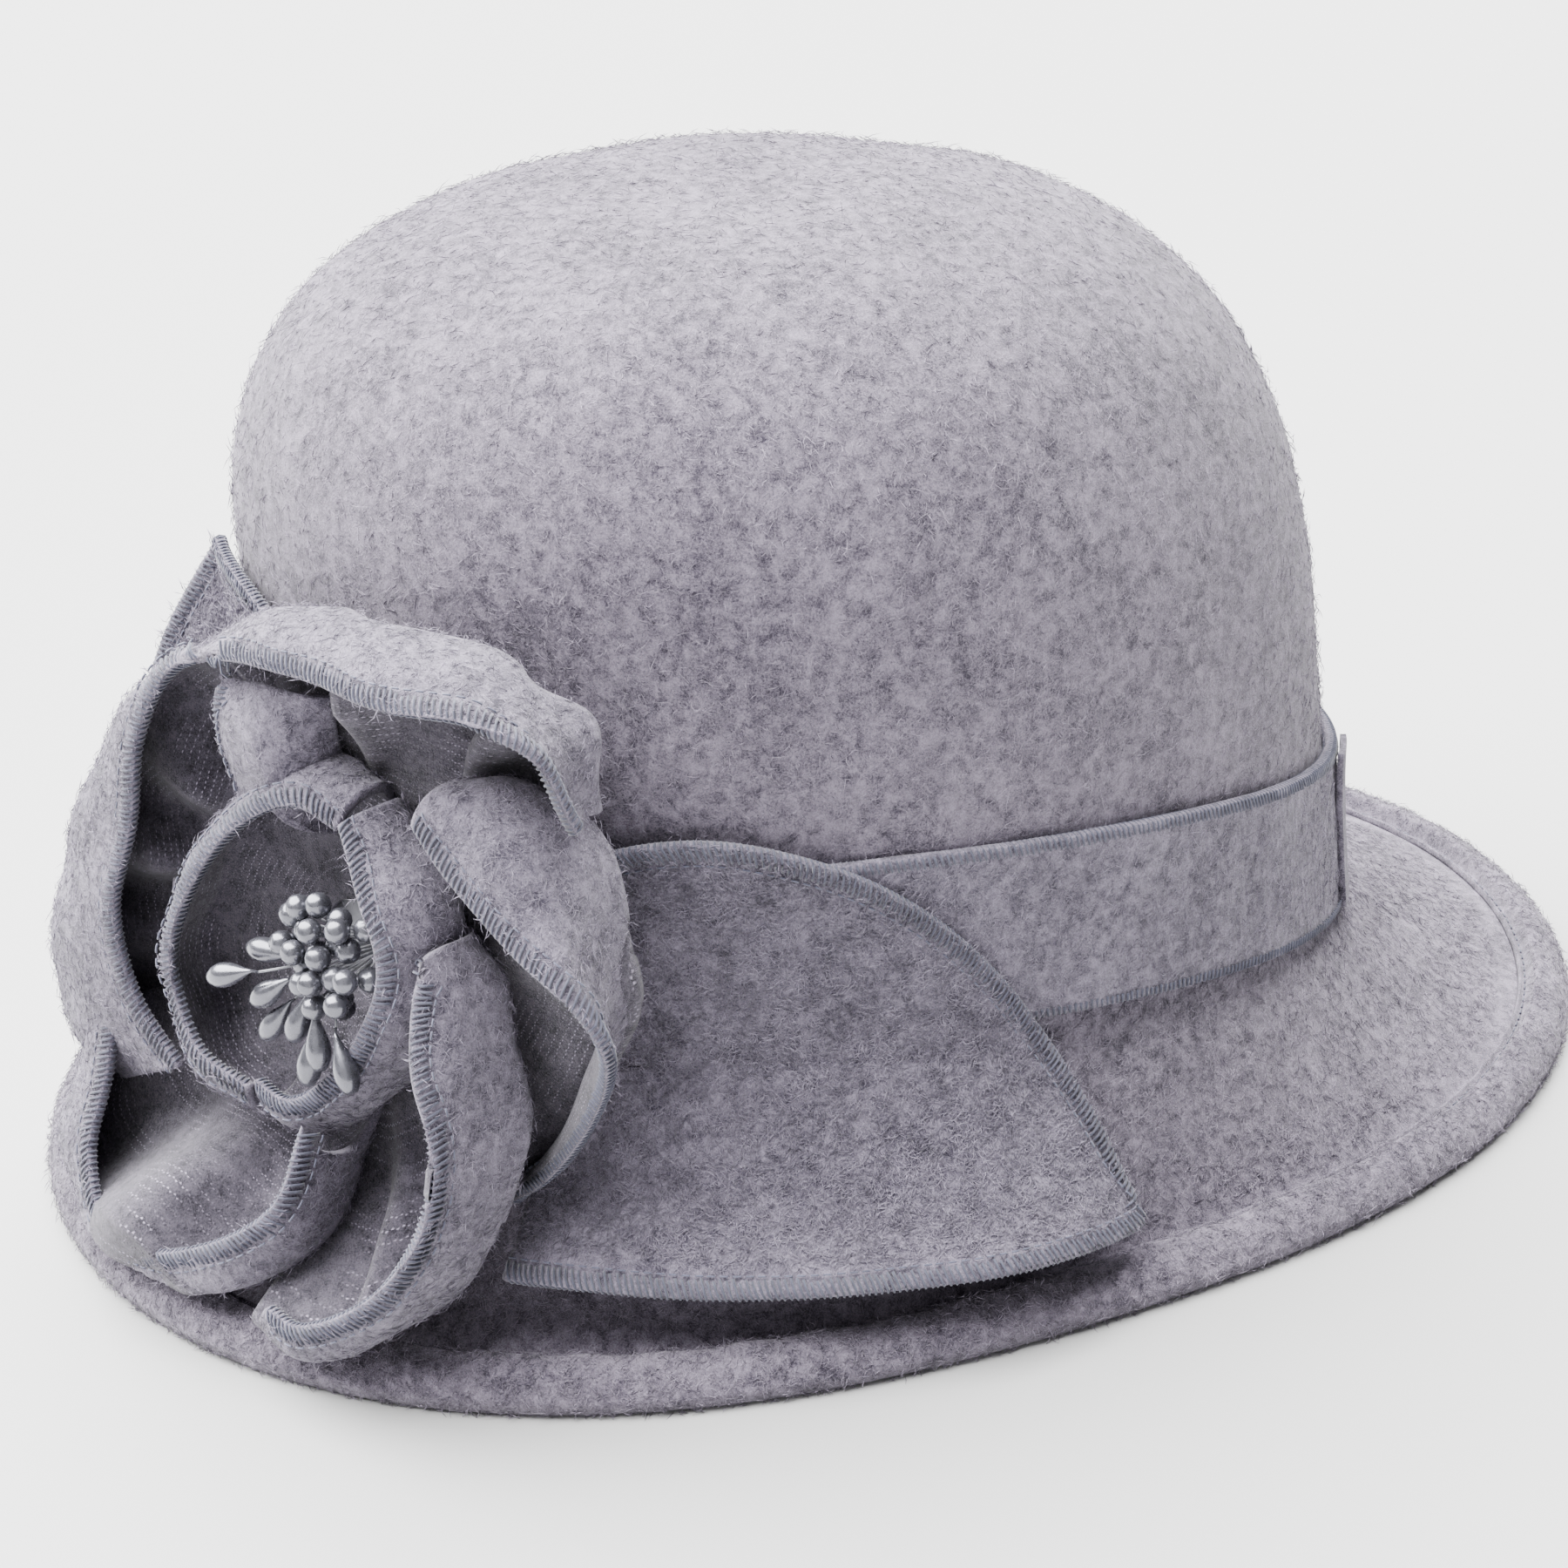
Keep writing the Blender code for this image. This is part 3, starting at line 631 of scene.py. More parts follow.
def finish(name):
    """The finish of that name, made when it is first asked for."""
    if name in FINISHES:
        return FINISHES[name]
    scene = bpy.context.scene
    felt, knit, thread = scene.hat_felt, scene.hat_knit, scene.hat_thread
    makers = {
        "wool felt": lambda n: wool(n, felt.color, felt.shade, felt.mottle, 0.0021),
        "felt hair": lambda n: wool(n, felt.color, felt.shade, felt.mottle * 2, 0.0021, darken=1.45),
        "boiled wool": lambda n: wool(n, knit.color, knit.shade, 0.0026, 0.0018, ribbed(knit.loop)),
        # The wrong side is the same yarn at 0.48 of its brightness: painted shade on the petals' insides and
        # the leaves' undersides; its pale loops are the knit's own.
        "boiled wool wrong side": lambda n: wool(
            n, knit.color, knit.shade, 0.0026, 0.0018, looped(knit.loop, knit.color), darken=0.48),
        "knit hair": lambda n: wool(n, knit.color, knit.shade, 0.005, 0.0018, darken=1.45),
        "edging thread": lambda n: twisted(n, thread.color, 0.0006),
        "needle thread": lambda n: twisted(n, [c * 1.5 for c in thread.color], 0.0006),
        "grosgrain": lambda n: grosgrain(n, (0.10, 0.10, 0.115)),
        "pearl lacquer": lambda n: pearl(n, scene.hat_flower.pearl),
        "stamen stem": lambda n: twisted(n, (0.30, 0.30, 0.33), 0.0005),
        "drawn steel": drawn_steel,
        "stiffened felt": lambda n: stiffened(n, (0.30, 0.30, 0.33)),
    }
    FINISHES[name] = makers[name](name)
    return FINISHES[name]


# ------------------------------------------------------------------ edging stitches and nap

def at_length(values, lengths, at):
    """Rows of values read off at lengths along an edge."""
    return np.stack([np.interp(at, lengths, values[:, k]) for k in range(values.shape[1])], -1)


def edging(name, edge, inward, cloth_thickness, replaces, closed=False):
    """Overlock stitches over a cloth's edge, and the needle's dashes beside them.

    Every stitch is one short path: from the needle's line it slants to the edge, turns round it and comes
    back underneath. The paths stand a pitch apart along the edge. A dash lies over every other stitch.
    """
    thread = bpy.context.scene.hat_thread
    if closed:
        edge, inward = np.vstack([edge, edge[:1]]), np.vstack([inward, inward[:1]])
    along = unit(np.gradient(edge, axis=0))
    if closed:
        along[0] = along[-1] = unit(along[0] + along[-1])
    inward = unit(inward - (inward * along).sum(-1, keepdims=True) * along)
    normal = np.cross(along, inward)
    lengths = along_line(edge)
    count = max(int(lengths[-1] / thread.pitch), 2)
    pitch = lengths[-1] / count
    start = (np.arange(count) + (0 if closed else 0.3)) * pitch
    if not closed:
        start = start[:-1]
    wobble = np.random.default_rng(len(name)).normal(size=(len(start), 2)) * (0.05, 0.06)
    high = cloth_thickness / 2 + thread.thickness * 0.42
    # A stitch as (share of a pitch ahead, share of its width in from the edge, share of its height)
    shape = np.array([(0.0, 1.0, 0.75), (0.28, 0.66, 1.05), (0.60, 0.32, 1.12), (0.92, 0.05, 0.85),
                      (1.08, -0.05, 0.0), (1.22, 0.05, -0.85), (1.55, 0.55, -1.05)])

    def place(ahead, inside, above):
        at = start[:, None] + ahead * pitch
        if closed:
            at = at % lengths[-1]
        spots = [at_length(v, lengths, at.ravel()).reshape(*at.shape, 3) for v in (edge, inward, normal)]
        return spots[0] + spots[1] * inside[..., None] + spots[2] * above[..., None]

    ahead = shape[:, 0] + wobble[:, :1]
    inside = thread.width * shape[:, 1] * (1 + wobble[:, 1:])
    loops = place(ahead, inside, np.broadcast_to(high * shape[:, 2], ahead.shape))
    points, faces = tubes(loops, thread.thickness / 2, 4)
    first_dash = len(faces)
    dash = np.array([(0.0, 0.35), (0.25, 1.0), (0.75, 1.0), (1.0, 0.35)])
    inside = np.full((len(start), len(dash)), thread.width * 1.22)
    above = np.broadcast_to(cloth_thickness / 2 + thread.thickness * 0.3 * dash[:, 1], inside.shape)
    dash_paths = place(dash[:, 0] * 1.25 + wobble[:, :1], inside, above)[::2]
    more, more_faces = tubes(dash_paths, thread.thickness * 0.36, 4)
    faces += [[corner + len(points) for corner in face] for face in more_faces]
    finishes = [finish("edging thread"), finish("needle thread")]
    piece = add_piece(name, np.vstack([points, more]), faces, finishes, "thread", replaces)
    index = (np.arange(len(faces)) >= first_dash).astype(int)
    piece.data.polygons.foreach_set("material_index", index)
    return piece


def rim_edging(name, grid, inside, cloth_thickness, replaces):
    """Overlock along the last row of a cloth's grid, with the needle's dashes on its right side."""
    grid = facing_away(grid, inside)[:, ::-1]
    return edging(name, grid[-1], grid[-7] - grid[-1], cloth_thickness, replaces)


def nap(name, grids, length, hairs, hair_finish, slot, seed, lift=0.45, off=0.0):
    """Loose hairs on grids of points: bent spindles of six faces, more of them where there is more cloth.

    Each hair starts at a random place on a grid's cell, leaves it in a random direction that leans off the
    cloth, and droops back towards it at its end.
    """
    if not hairs:
        return
    draw = np.random.default_rng(seed)
    corner, right, up = [], [], []
    for grid in grids:
        corner.append(grid[:-1, :-1].reshape(-1, 3))
        right.append((grid[:-1, 1:] - grid[:-1, :-1]).reshape(-1, 3))
        up.append((grid[1:, :-1] - grid[:-1, :-1]).reshape(-1, 3))
    corner, right, up = (np.vstack(v) for v in (corner, right, up))
    normal = np.cross(right, up)
    area = np.linalg.norm(normal, axis=1)
    pick = draw.choice(len(area), hairs, p=area / area.sum())
    normal = unit(normal[pick])
    root = corner[pick] + right[pick] * draw.random((hairs, 1)) + up[pick] * draw.random((hairs, 1))
    root = root + normal * off
    lie = unit(np.cross(normal, draw.normal(size=(hairs, 3))))
    rise = lift * draw.random((hairs, 1)) ** 1.5 + 0.06
    reach = length * (0.35 + 0.9 * draw.random((hairs, 1)) ** 1.6)
    middle = root + (lie + normal * rise) * reach * 0.5
    turn = np.cross(normal, lie) * draw.normal(size=(hairs, 1)) * 0.22
    end = root + (lie * 0.95 + normal * rise * 0.75 + turn) * reach
    side = unit(np.cross(end - root, normal))
    other = unit(np.cross(end - root, side))
    ring = [middle + HAIR_RADIUS * (np.cos(a) * side + np.sin(a) * other) for a in np.radians((0, 120, 240))]
    points = np.stack([root, *ring, end], 1).reshape(-1, 3)
    spindle = np.array([(0, 2, 1), (0, 3, 2), (0, 1, 3), (4, 1, 2), (4, 2, 3), (4, 3, 1)])
    faces = ((np.arange(hairs) * 5)[:, None, None] + spindle).reshape(-1, 3)
    closed_piece(name, points, faces, [finish(hair_finish)], slot)


# ------------------------------------------------------------------ the felt

AROUND = 260
BRIM_ROWS = 34
CROWN_ROWS = 84


def crown_grid():
    """The crown from the band's foot to its tip: rows even in height up the wall, in width over the dome."""
    theta = np.linspace(0, 2 * np.pi, AROUND + 1)
    top = BAND_FOOT + CROWN_HEIGHT - foot(theta)
    wall = np.linspace(0, 0.72, CROWN_ROWS // 2)
    at_shoulder = (1 - wall[-1] ** CROWN_SHOULDER) ** (1 / CROWN_ROUND)
    across = np.linspace(at_shoulder, 0.012, CROWN_ROWS - CROWN_ROWS // 2 + 1)[1:]
    dome = (1 - across ** CROWN_ROUND) ** (1 / CROWN_SHOULDER)
    height = foot(theta) + np.r_[wall, dome][:, None] * top
    return on_felt(theta[None, :], height)


def brim_grid():
    """The brim from its level edge up to the band's foot: four level rows, then closer rows near the foot."""
    theta = np.linspace(0, 2 * np.pi, AROUND + 1)
    t = np.r_[np.linspace(2, 1, 5)[:-1], np.linspace(1, 0, BRIM_ROWS - 4) ** 1.15]
    return on_brim(theta[None, :], t[:, None])


def soften(grid):
    """The felt's slight unevenness: wide low lumps and smaller ones, along the felt's normal."""
    bumps = 0.0005 * lumps(grid, 0.075, 3) + 0.00022 * lumps(grid, 0.024, 5)
    tip = np.clip((grid[..., 2] - 0.160) / 0.02, 0, 1)
    bumps = bumps + tip * 0.0011 * lumps(grid * (1, 1, 0.3), 0.052, 8)
    return grid + grid_normals(grid) * bumps[..., None]


# Grids of the pieces that get hairs of their own
GRIDS = {}


class HAT_OT_felt_body(bpy.types.Operator):
    """Makes the crown and brim in one piece of felt."""
    bl_idname = "hat.felt_body"
    bl_label = "Crown and Brim"

    def execute(self, context):
        grid = soften(np.vstack([brim_grid(), crown_grid()[1:]]))[:, :-1]
        rows = len(grid)
        tip = grid[-1].mean(0, keepdims=True)
        points = np.vstack([grid.reshape(-1, 3), tip])
        last = (rows - 1) * AROUND
        c = np.arange(AROUND)
        cap = np.stack([last + c, last + (c + 1) % AROUND, np.full(AROUND, len(points) - 1)], -1)
        faces = grid_faces(rows, AROUND, wrap=True).tolist() + cap.tolist()
        body = add_piece("crown_and_brim", points, faces, [finish("wool felt")], "felt", ["felt_body"])
        wall = body.modifiers.new("felt", "SOLIDIFY")
        wall.thickness = FELT
        wall.offset = -1
        return {"FINISHED"}


def hem_section(theta, corners):
    """Places given as (distance out from the felt's edge, height above its upper face), round the brim."""
    edge = on_brim(theta, 2.0)
    across, ahead = sideways(theta)
    outwards = np.stack([across, ahead, 0 * theta], -1)
    out, rise = np.moveaxis(corners, -1, 0)
    return edge[:, None] + out[..., None] * outwards[:, None] + rise[..., None] * np.array([0, 0, 1.0])


class HAT_OT_brim_hem(bpy.types.Operator):
    """Makes the folded hem round the brim, with its stitched groove, and gives its wire a better finish."""
    bl_idname = "hat.brim_hem"
    bl_label = "Brim Hem"

    def execute(self, context):
        around = 720
        theta = round_ring(around)
        inward, nose = HEM_IN - GAP, BINDING + WIRE + 2 * GAP
        top, under = GAP + BINDING, -FELT - 2 * GAP - BINDING
        # From the groove over the puffed top and the nose, back underneath, and along the felt to the groove
        outline = [(-inward - 0.0004, 0.0001), (-inward + 0.0001, top * 0.85), (-inward + 0.0011, top * 0.25),
                   (-inward + 0.0025, top * 1.45), (-inward / 2, top * 1.85), (-0.0008, top * 1.5),
                   (nose * 0.45, top * 0.75), (nose * 0.85, -0.0006), (nose, -FELT / 2 - 0.0004),
                   (nose * 0.86, under * 0.72), (nose * 0.4, under * 0.98), (-inward * 0.5, under),
                   (-inward, under), (-inward - 0.0002, under * 0.85), (-inward, -FELT - 2 * GAP),
                   (-inward * 0.4, -FELT - 2 * GAP), (0.0006, -FELT * 0.8), (0.0009, -FELT * 0.3),
                   (0, GAP * 0.5), (-inward * 0.6, GAP * 0.5), (-inward - 0.0004, 0.0001)]
        section = through(outline, 61)[:-1]
        corners = np.broadcast_to(section, (around, *section.shape)).copy()
        puffed = 1 + 0.05 * np.sin(theta * 61)[:, None] + 0.05 * np.sin(theta * 23 + 1)[:, None]
        upper = np.clip(corners[..., 1] / top, 0, 1)
        corners[..., 1] *= 1 + (puffed - 1) * upper
        grid = hem_section(theta, corners)
        edge_lumps = 0.00022 * lumps(grid, 0.009, 12) + 0.0003 * lumps(grid, 0.03, 13)
        grid[..., 2] += edge_lumps * (corners[..., 1] > under * 0.6)
        grid[..., 2] = np.maximum(grid[..., 2], 0.0002)
        faces = grid_faces(around, section.shape[0], wrap=True, wrap_rows=True)
        GRIDS["hem"] = grid[:, 9:34]
        closed_piece("brim_hem", grid.reshape(-1, 3), faces, [finish("wool felt")], "felt", ["brim_binding"])
        stitches = 330
        dash = np.array([(-0.34, 0.15), (-0.2, 0.55), (0.0, 0.7), (0.2, 0.55), (0.34, 0.15)])
        spot = dashes(stitches, dash[:, 0]).ravel()
        rise = np.tile(top * 0.28 + dash[:, 1] * 0.0003, stitches)
        out = np.full_like(spot, -inward + 0.0011)
        paths = hem_section(spot, np.stack([out, rise], -1)[:, None])[:, 0].reshape(stitches, len(dash), 3)
        add_tubes("brim_hem_stitching", paths, 0.00022, 4, "edging thread", "thread", ["brim_binding_stitch"])
        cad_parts["brim_wire"].material_slots[0].material = finish("drawn steel")
        return {"FINISHED"}


# ------------------------------------------------------------------ band and sweatband

def wall_section(theta, corners):
    """Places given as (distance off the felt, height above the band's foot), all round the crown."""
    off, up = np.moveaxis(np.broadcast_to(corners, (len(theta), *np.shape(corners)[-2:])), -1, 0)
    return on_felt(theta[:, None], foot(theta)[:, None] + up, off)


def strip_ring(name, around, grid, section, finish_name, slot, node):
    """A closed strip all round the head, with its cloth coordinates: length along it, and height."""
    u = np.linspace(0, HEAD_ROUND, around)
    uv = np.stack(np.broadcast_arrays(u[:, None], section[:, 1][None, :]), -1)
    faces = grid_faces(around, len(section), wrap=True, wrap_rows=True)
    return closed_piece(name, grid.reshape(-1, 3), faces, [finish(finish_name)], slot, [node], uv)


def strip_section(height, inside, outside, steps):
    """A flat strip's outline as (distance off the felt, height): two long sides with rounded ends."""
    rise = np.linspace(0.0, height, steps)
    middle, half = (inside + outside) / 2, (outside - inside) / 2
    turn = np.linspace(0, np.pi, 5)[1:-1]
    top = np.stack([middle + half * np.cos(turn), height + half * 0.6 * np.sin(turn)], -1)
    low = np.stack([middle - half * np.cos(turn), -half * 0.6 * np.sin(turn)], -1)
    outer = np.stack([np.full(steps, outside), rise], -1)
    inner = np.stack([np.full(steps, inside), rise[::-1]], -1)
    return np.vstack([outer, top, inner, low])


class HAT_OT_hat_band(bpy.types.Operator):
    """Makes the knit band, its edging and its lapped end at the back."""
    bl_idname = "hat.hat_band"
    bl_label = "Hat Band"

    def execute(self, context):
        around = 480
        theta = round_ring(around)
        section = strip_section(BAND_HEIGHT, GAP, BAND_OUT, 22)
        corners = np.broadcast_to(section, (around, *section.shape)).copy()
        outer = corners[..., 0] > GAP * 1.5
        grid = wall_section(theta, corners)
        creases = 0.00028 * lumps(grid * (1, 1, 0.35), 0.012, 21) + 0.0003 * lumps(grid, 0.04, 22)
        corners[..., 0] += np.where(outer, np.abs(creases), 0)
        corners[..., 1] += 0.0004 * lumps(grid * (1, 1, 0), 0.06, 23)
        grid = wall_section(theta, corners)
        band = strip_ring("band_strip", around, grid, section, "boiled wool", "knit", "hat_band")
        for name, node, height, inwards in (("band_upper_edging", "band_upper_overlock", BAND_HEIGHT, -1),
                                            ("band_lower_edging", "band_lower_overlock", 0.0, 1)):
            wave = 0.0004 * lumps(on_felt(theta, foot(theta)) * (1, 1, 0), 0.06, 23)
            z = foot(theta) + height + wave + 0.0003 * -inwards
            middle = (GAP + BAND_OUT) / 2 + 0.0002
            edge = on_felt(theta, z, middle)
            inside = on_felt(theta, z + inwards * 0.002, middle)
            if inwards > 0:
                edge, inside = edge[::-1], inside[::-1]
            edging(name, edge, inside - edge, BAND, [node], closed=True)
        half = LAP_WIDTH / 2 / HALF_LENGTH
        across = np.radians(LAP_ANGLE) + np.linspace(-half, half, 24)
        up = np.linspace(-0.0002, BAND_HEIGHT + 0.0002, 40)[:, None]
        off = BAND_OUT + GAP + BAND * 0.3 + 0.0009 * np.clip(up / BAND_HEIGHT, 0, 1) ** 4
        lap_grid = on_felt(across[None, :], foot(across) + up, off)
        finishes = [finish("boiled wool")] * 2
        lap = cloth("band_lapped_end", lap_grid, BAND * 0.6, finishes, "knit", np.zeros(3), ["band_lap"])
        return {"FINISHED"}


class HAT_OT_sweatband(bpy.types.Operator):
    """Makes the ribbon inside the head opening, its stitching and its bow."""
    bl_idname = "hat.sweatband"
    bl_label = "Sweatband"

    def execute(self, context):
        around = 360
        theta = round_ring(around)
        outside = -FELT - 2 * GAP
        section = strip_section(SWEATBAND_HEIGHT, outside - SWEATBAND, outside, 12) + (0, GAP)
        grid = wall_section(theta, section)
        ribbon = strip_ring("sweatband_ribbon", around, grid, section, "grosgrain", "ribbon", "sweatband")
        dash = np.array([(-0.32, 0.0), (-0.15, 1.0), (0.15, 1.0), (0.32, 0.0)])
        spot = dashes(190, dash[:, 0])
        inside = outside - SWEATBAND - 0.0003 * dash[:, 1]
        paths = on_felt(spot, foot(spot) + 0.0024, np.broadcast_to(inside, spot.shape))
        stitching = add_tubes("sweatband_stitching", paths, 0.0003, 4, "edging thread", "thread",
                              ["sweatband_stitch"])
        bow = self.bow(outside - SWEATBAND)
        return {"FINISHED"}

    def bow(self, inside):
        """A flat bow: a strip whose height pinches to a knot in the middle, domed on both sides of it."""
        half_width, half_height = 0.009, 0.0036
        share = np.linspace(-1, 1, 41)
        rise = np.linspace(-1, 1, 15)[:, None]
        across = np.pi + share * half_width / HALF_LENGTH
        pinch = 0.30 + 0.70 * np.abs(share) ** 0.8
        up = rise * half_height * pinch
        puff = 0.0009 * np.sin(np.abs(share) * np.pi) + 0.0006 * np.exp(-(share / 0.12) ** 2)
        off = inside - 0.0011 - puff * (1 - 0.3 * rise ** 2)
        grid = on_felt(across[None, :], foot(across) + SWEATBAND_HEIGHT / 2 + up, off)
        return cloth("sweatband_bow_knot", grid, 0.0008, [finish("grosgrain")] * 2, "ribbon", np.zeros(3),
                     ["sweatband_bow"])


# ------------------------------------------------------------------ leaves

def cloth_finishes():
    """The knit's right side, and its wrong side darkened as painted shade."""
    return [finish("boiled wool"), finish("boiled wool wrong side")]


def side_leaf_grid(columns, rows):
    """The side leaf: its top edge is half an ellipse over angle and height, its lower edge level.

    It lies on the band, and lifts off the brim with the cube of its depth below the top, with two slow waves.
    """
    start = np.arcsin((LEAF_FROM - LEAF_MIDDLE) / LEAF_HALF_ANGLE)
    arc = np.linspace(start, np.pi / 2, columns)
    theta = np.radians(LEAF_MIDDLE + LEAF_HALF_ANGLE * np.sin(arc))
    top = LEAF_TIP_HEIGHT + LEAF_RISE * np.cos(arc)
    low = LEAF_TIP_HEIGHT - 0.002 * np.sin(np.linspace(0.35, np.pi, columns))
    z = top + (low - top) * np.linspace(0, 1, rows)[:, None]
    depth = np.clip((LEAF_TIP_HEIGHT + LEAF_RISE - z) / LEAF_RISE, 0, 1)
    wave = 0.0012 * np.sin(theta * 9 + 0.6) + 0.0006 * np.sin(theta * 23)
    belly = 0.0065 * np.sin(np.linspace(0.35, np.pi, columns))
    off = LEAF_OUT - LEAF / 2 + (0.0062 + wave + belly) * depth ** 3
    grid = on_felt(theta[None, :], z, off)
    return roughened(grid, 0.0003, 0.016, 31)


class HAT_OT_side_leaf(bpy.types.Operator):
    """Makes the large leaf that lies over band and brim."""
    bl_idname = "hat.side_leaf"
    bl_label = "Side Leaf"

    def execute(self, context):
        grid = side_leaf_grid(120, 90)
        leaf = cloth("side_leaf", grid, LEAF, cloth_finishes(), "knit", np.zeros(3), ["leaf_side"])
        GRIDS["side_leaf"] = grid[:-5]
        outline = np.vstack([grid[0], grid[-1][-2::-1]])
        inner = np.vstack([grid[1], grid[-2][-2::-1]])
        inward = inner - outline
        corner = slice(len(grid[0]) - 3, len(grid[0]) + 2)
        inward[corner] = grid[-1, 60] - outline[corner]
        outline, inward = outline[::-1], inward[::-1]
        edges = edging("side_leaf_edging", outline, inward, LEAF, ["leaf_side_overlock"])
        return {"FINISHED"}


# ------------------------------------------------------------------ flower

def flower_axes():
    """(place on the crown, unit across, unit up, unit out) of the flower's plane."""
    turn, tilt = np.radians(FLOWER_TURN), np.radians(FLOWER_TILT)
    out = np.array([np.sin(turn) * np.cos(tilt), -np.cos(turn) * np.cos(tilt), np.sin(tilt)])
    across = np.array([np.cos(turn), np.sin(turn), 0])
    return on_felt(np.radians(FLOWER_THETA), FLOWER_HEIGHT), across, np.cross(out, across), out


def in_flower(points):
    """Points given across, up and out of the flower's plane, placed on the hat."""
    place, across, up, out = flower_axes()
    points = np.asarray(points, float)
    return place + points[..., :1] * across + points[..., 1:2] * up + points[..., 2:] * out


# Each outer petal: points of its rim, and of its belly beside them, as (across, up, out) in millimetres; then
# its folds, as (share along the rim, share up from the root, width, height, how far in, how far out)
PETALS = {
    "petal_upper_left": (
        [(-25, 49, 30), (-34, 43, 30), (-41, 31, 30), (-43, 15, 30), (-47, -4, 30), (-44, -21, 28),
         (-35, -31, 25)],
        [(-33, 47, 23), (-46, 39, 20), (-60, 23, 17), (-70, 5, 17), (-76, -14, 16), (-78, -33, 14),
         (-64, -46, 11)],
        [(0.30, 0.70, 0.07, 0.16, 8, 7), (0.50, 0.64, 0.08, 0.16, 17, 7), (0.72, 0.64, 0.07, 0.16, 12, 6)]),
    "petal_top": (
        [(-24, 49, 31), (-8, 52, 34), (8, 53, 36), (25, 53, 38), (40, 54, 35), (50, 49, 29), (53, 37, 22)],
        [(-31, 47, 24), (-16, 57, 23), (1, 61, 23), (20, 61, 21), (36, 57, 17), (46, 50, 13), (46, 36, 11)],
        [(0.40, 0.72, 0.06, 0.17, 2, 15), (0.70, 0.70, 0.05, 0.15, 0, 9)]),
    "petal_right": (
        [(26, 33, 31), (35, 26, 32), (47, 18, 31), (59, 11, 29), (63, 2, 24), (54, -14, 16), (43, -29, 12),
         (32, -39, 10)],
        [(27, 38, 24), (36, 40, 20), (45, 36, 14), (51, 23, 9), (54, 7, 6), (47, -10, 3), (38, -27, 3),
         (29, -40, 4)],
        [(0.55, 0.66, 0.06, 0.15, 0, 7)]),
    "petal_lower_right": (
        [(29, 10, 31), (29, 2, 33), (33, -10, 35), (38, -22, 37), (37, -34, 39), (29, -47, 41), (15, -57, 42),
         (5, -58, 41)],
        [(29, 12, 24), (34, 4, 20), (38, -10, 18), (40, -25, 18), (36, -42, 19), (27, -57, 23), (15, -66, 34),
         (0, -65, 37)],
        [(0.58, 0.70, 0.05, 0.16, 0, 10), (0.78, 0.62, 0.045, 0.17, 2, 13)]),
    "petal_lower_left": (
        [(-52, -28, 26), (-51, -40, 30), (-49, -51, 34), (-40, -59, 38), (-22, -57, 41), (-6, -49, 41),
         (3, -40, 38), (4, -27, 33)],
        [(-62, -29, 15), (-67, -45, 18), (-64, -58, 24), (-48, -65, 34), (-24, -66, 41), (-7, -60, 38),
         (4, -50, 31), (6, -34, 24)],
        [(0.50, 0.60, 0.11, 0.19, 17, 6)]),
}

# The two petals of the cup: points of the rim and of the belly, as above
CUP_PETALS = {
    "petal_cup_left": (
        [(6, 26, 28), (-3, 28, 30), (-13, 23, 30), (-22, 13, 31), (-29, 1, 31), (-31, -11, 31),
         (-24, -22, 31), (-12, -26, 30)],
        [(8, 32, 20), (-3, 34, 20), (-17, 28, 20), (-28, 16, 20), (-35, 2, 20), (-37, -13, 20),
         (-30, -28, 20), (-14, -34, 20)]),
    "petal_cup_right": (
        [(7, 27, 29), (14, 20, 32), (20, 11, 33), (20, 1, 33), (14, -10, 32), (5, -20, 31), (-3, -25, 30),
         (-12, -25, 28)],
        [(11, 31, 20), (21, 23, 21), (26, 12, 21), (26, -1, 21), (18, -15, 20), (8, -26, 20), (-3, -33, 20),
         (-15, -32, 20)]),
}
# Each petal's width and length in metres, and its area in square metres, as it is cut
CUTS = {"petal_upper_left": (0.120, 0.105, 0.0066), "petal_top": (0.112, 0.080, 0.0052),
        "petal_right": (0.108, 0.080, 0.0051), "petal_lower_right": (0.115, 0.080, 0.0051),
        "petal_lower_left": (0.130, 0.090, 0.0059), "petal_cup_left": (0.118, 0.052, 0.0042),
        "petal_cup_right": (0.101, 0.048, 0.0034), "petal_fold": (0.031, 0.031, 0.0008)}
# The upper leaf's outline, in the flower's plane and in millimetres
UPPER_LEAF = [(-48, -6, 7), (-60, 2, 8), (-67, 18, 8), (-62, 39, 7), (-52, 58, 4.5), (-49, 60.5, 4.2),
              (-45, 60, 4.2), (-27, 57, 4.5), (-10, 48, 5)]
CUP_CENTRE = (-5.0, 0.0)
ROOT_RADIUS = 11.0
ROOT_OUT = 10.5
PLAN = np.array([1, 1, 0])
OUT = np.array([0, 0, 1])


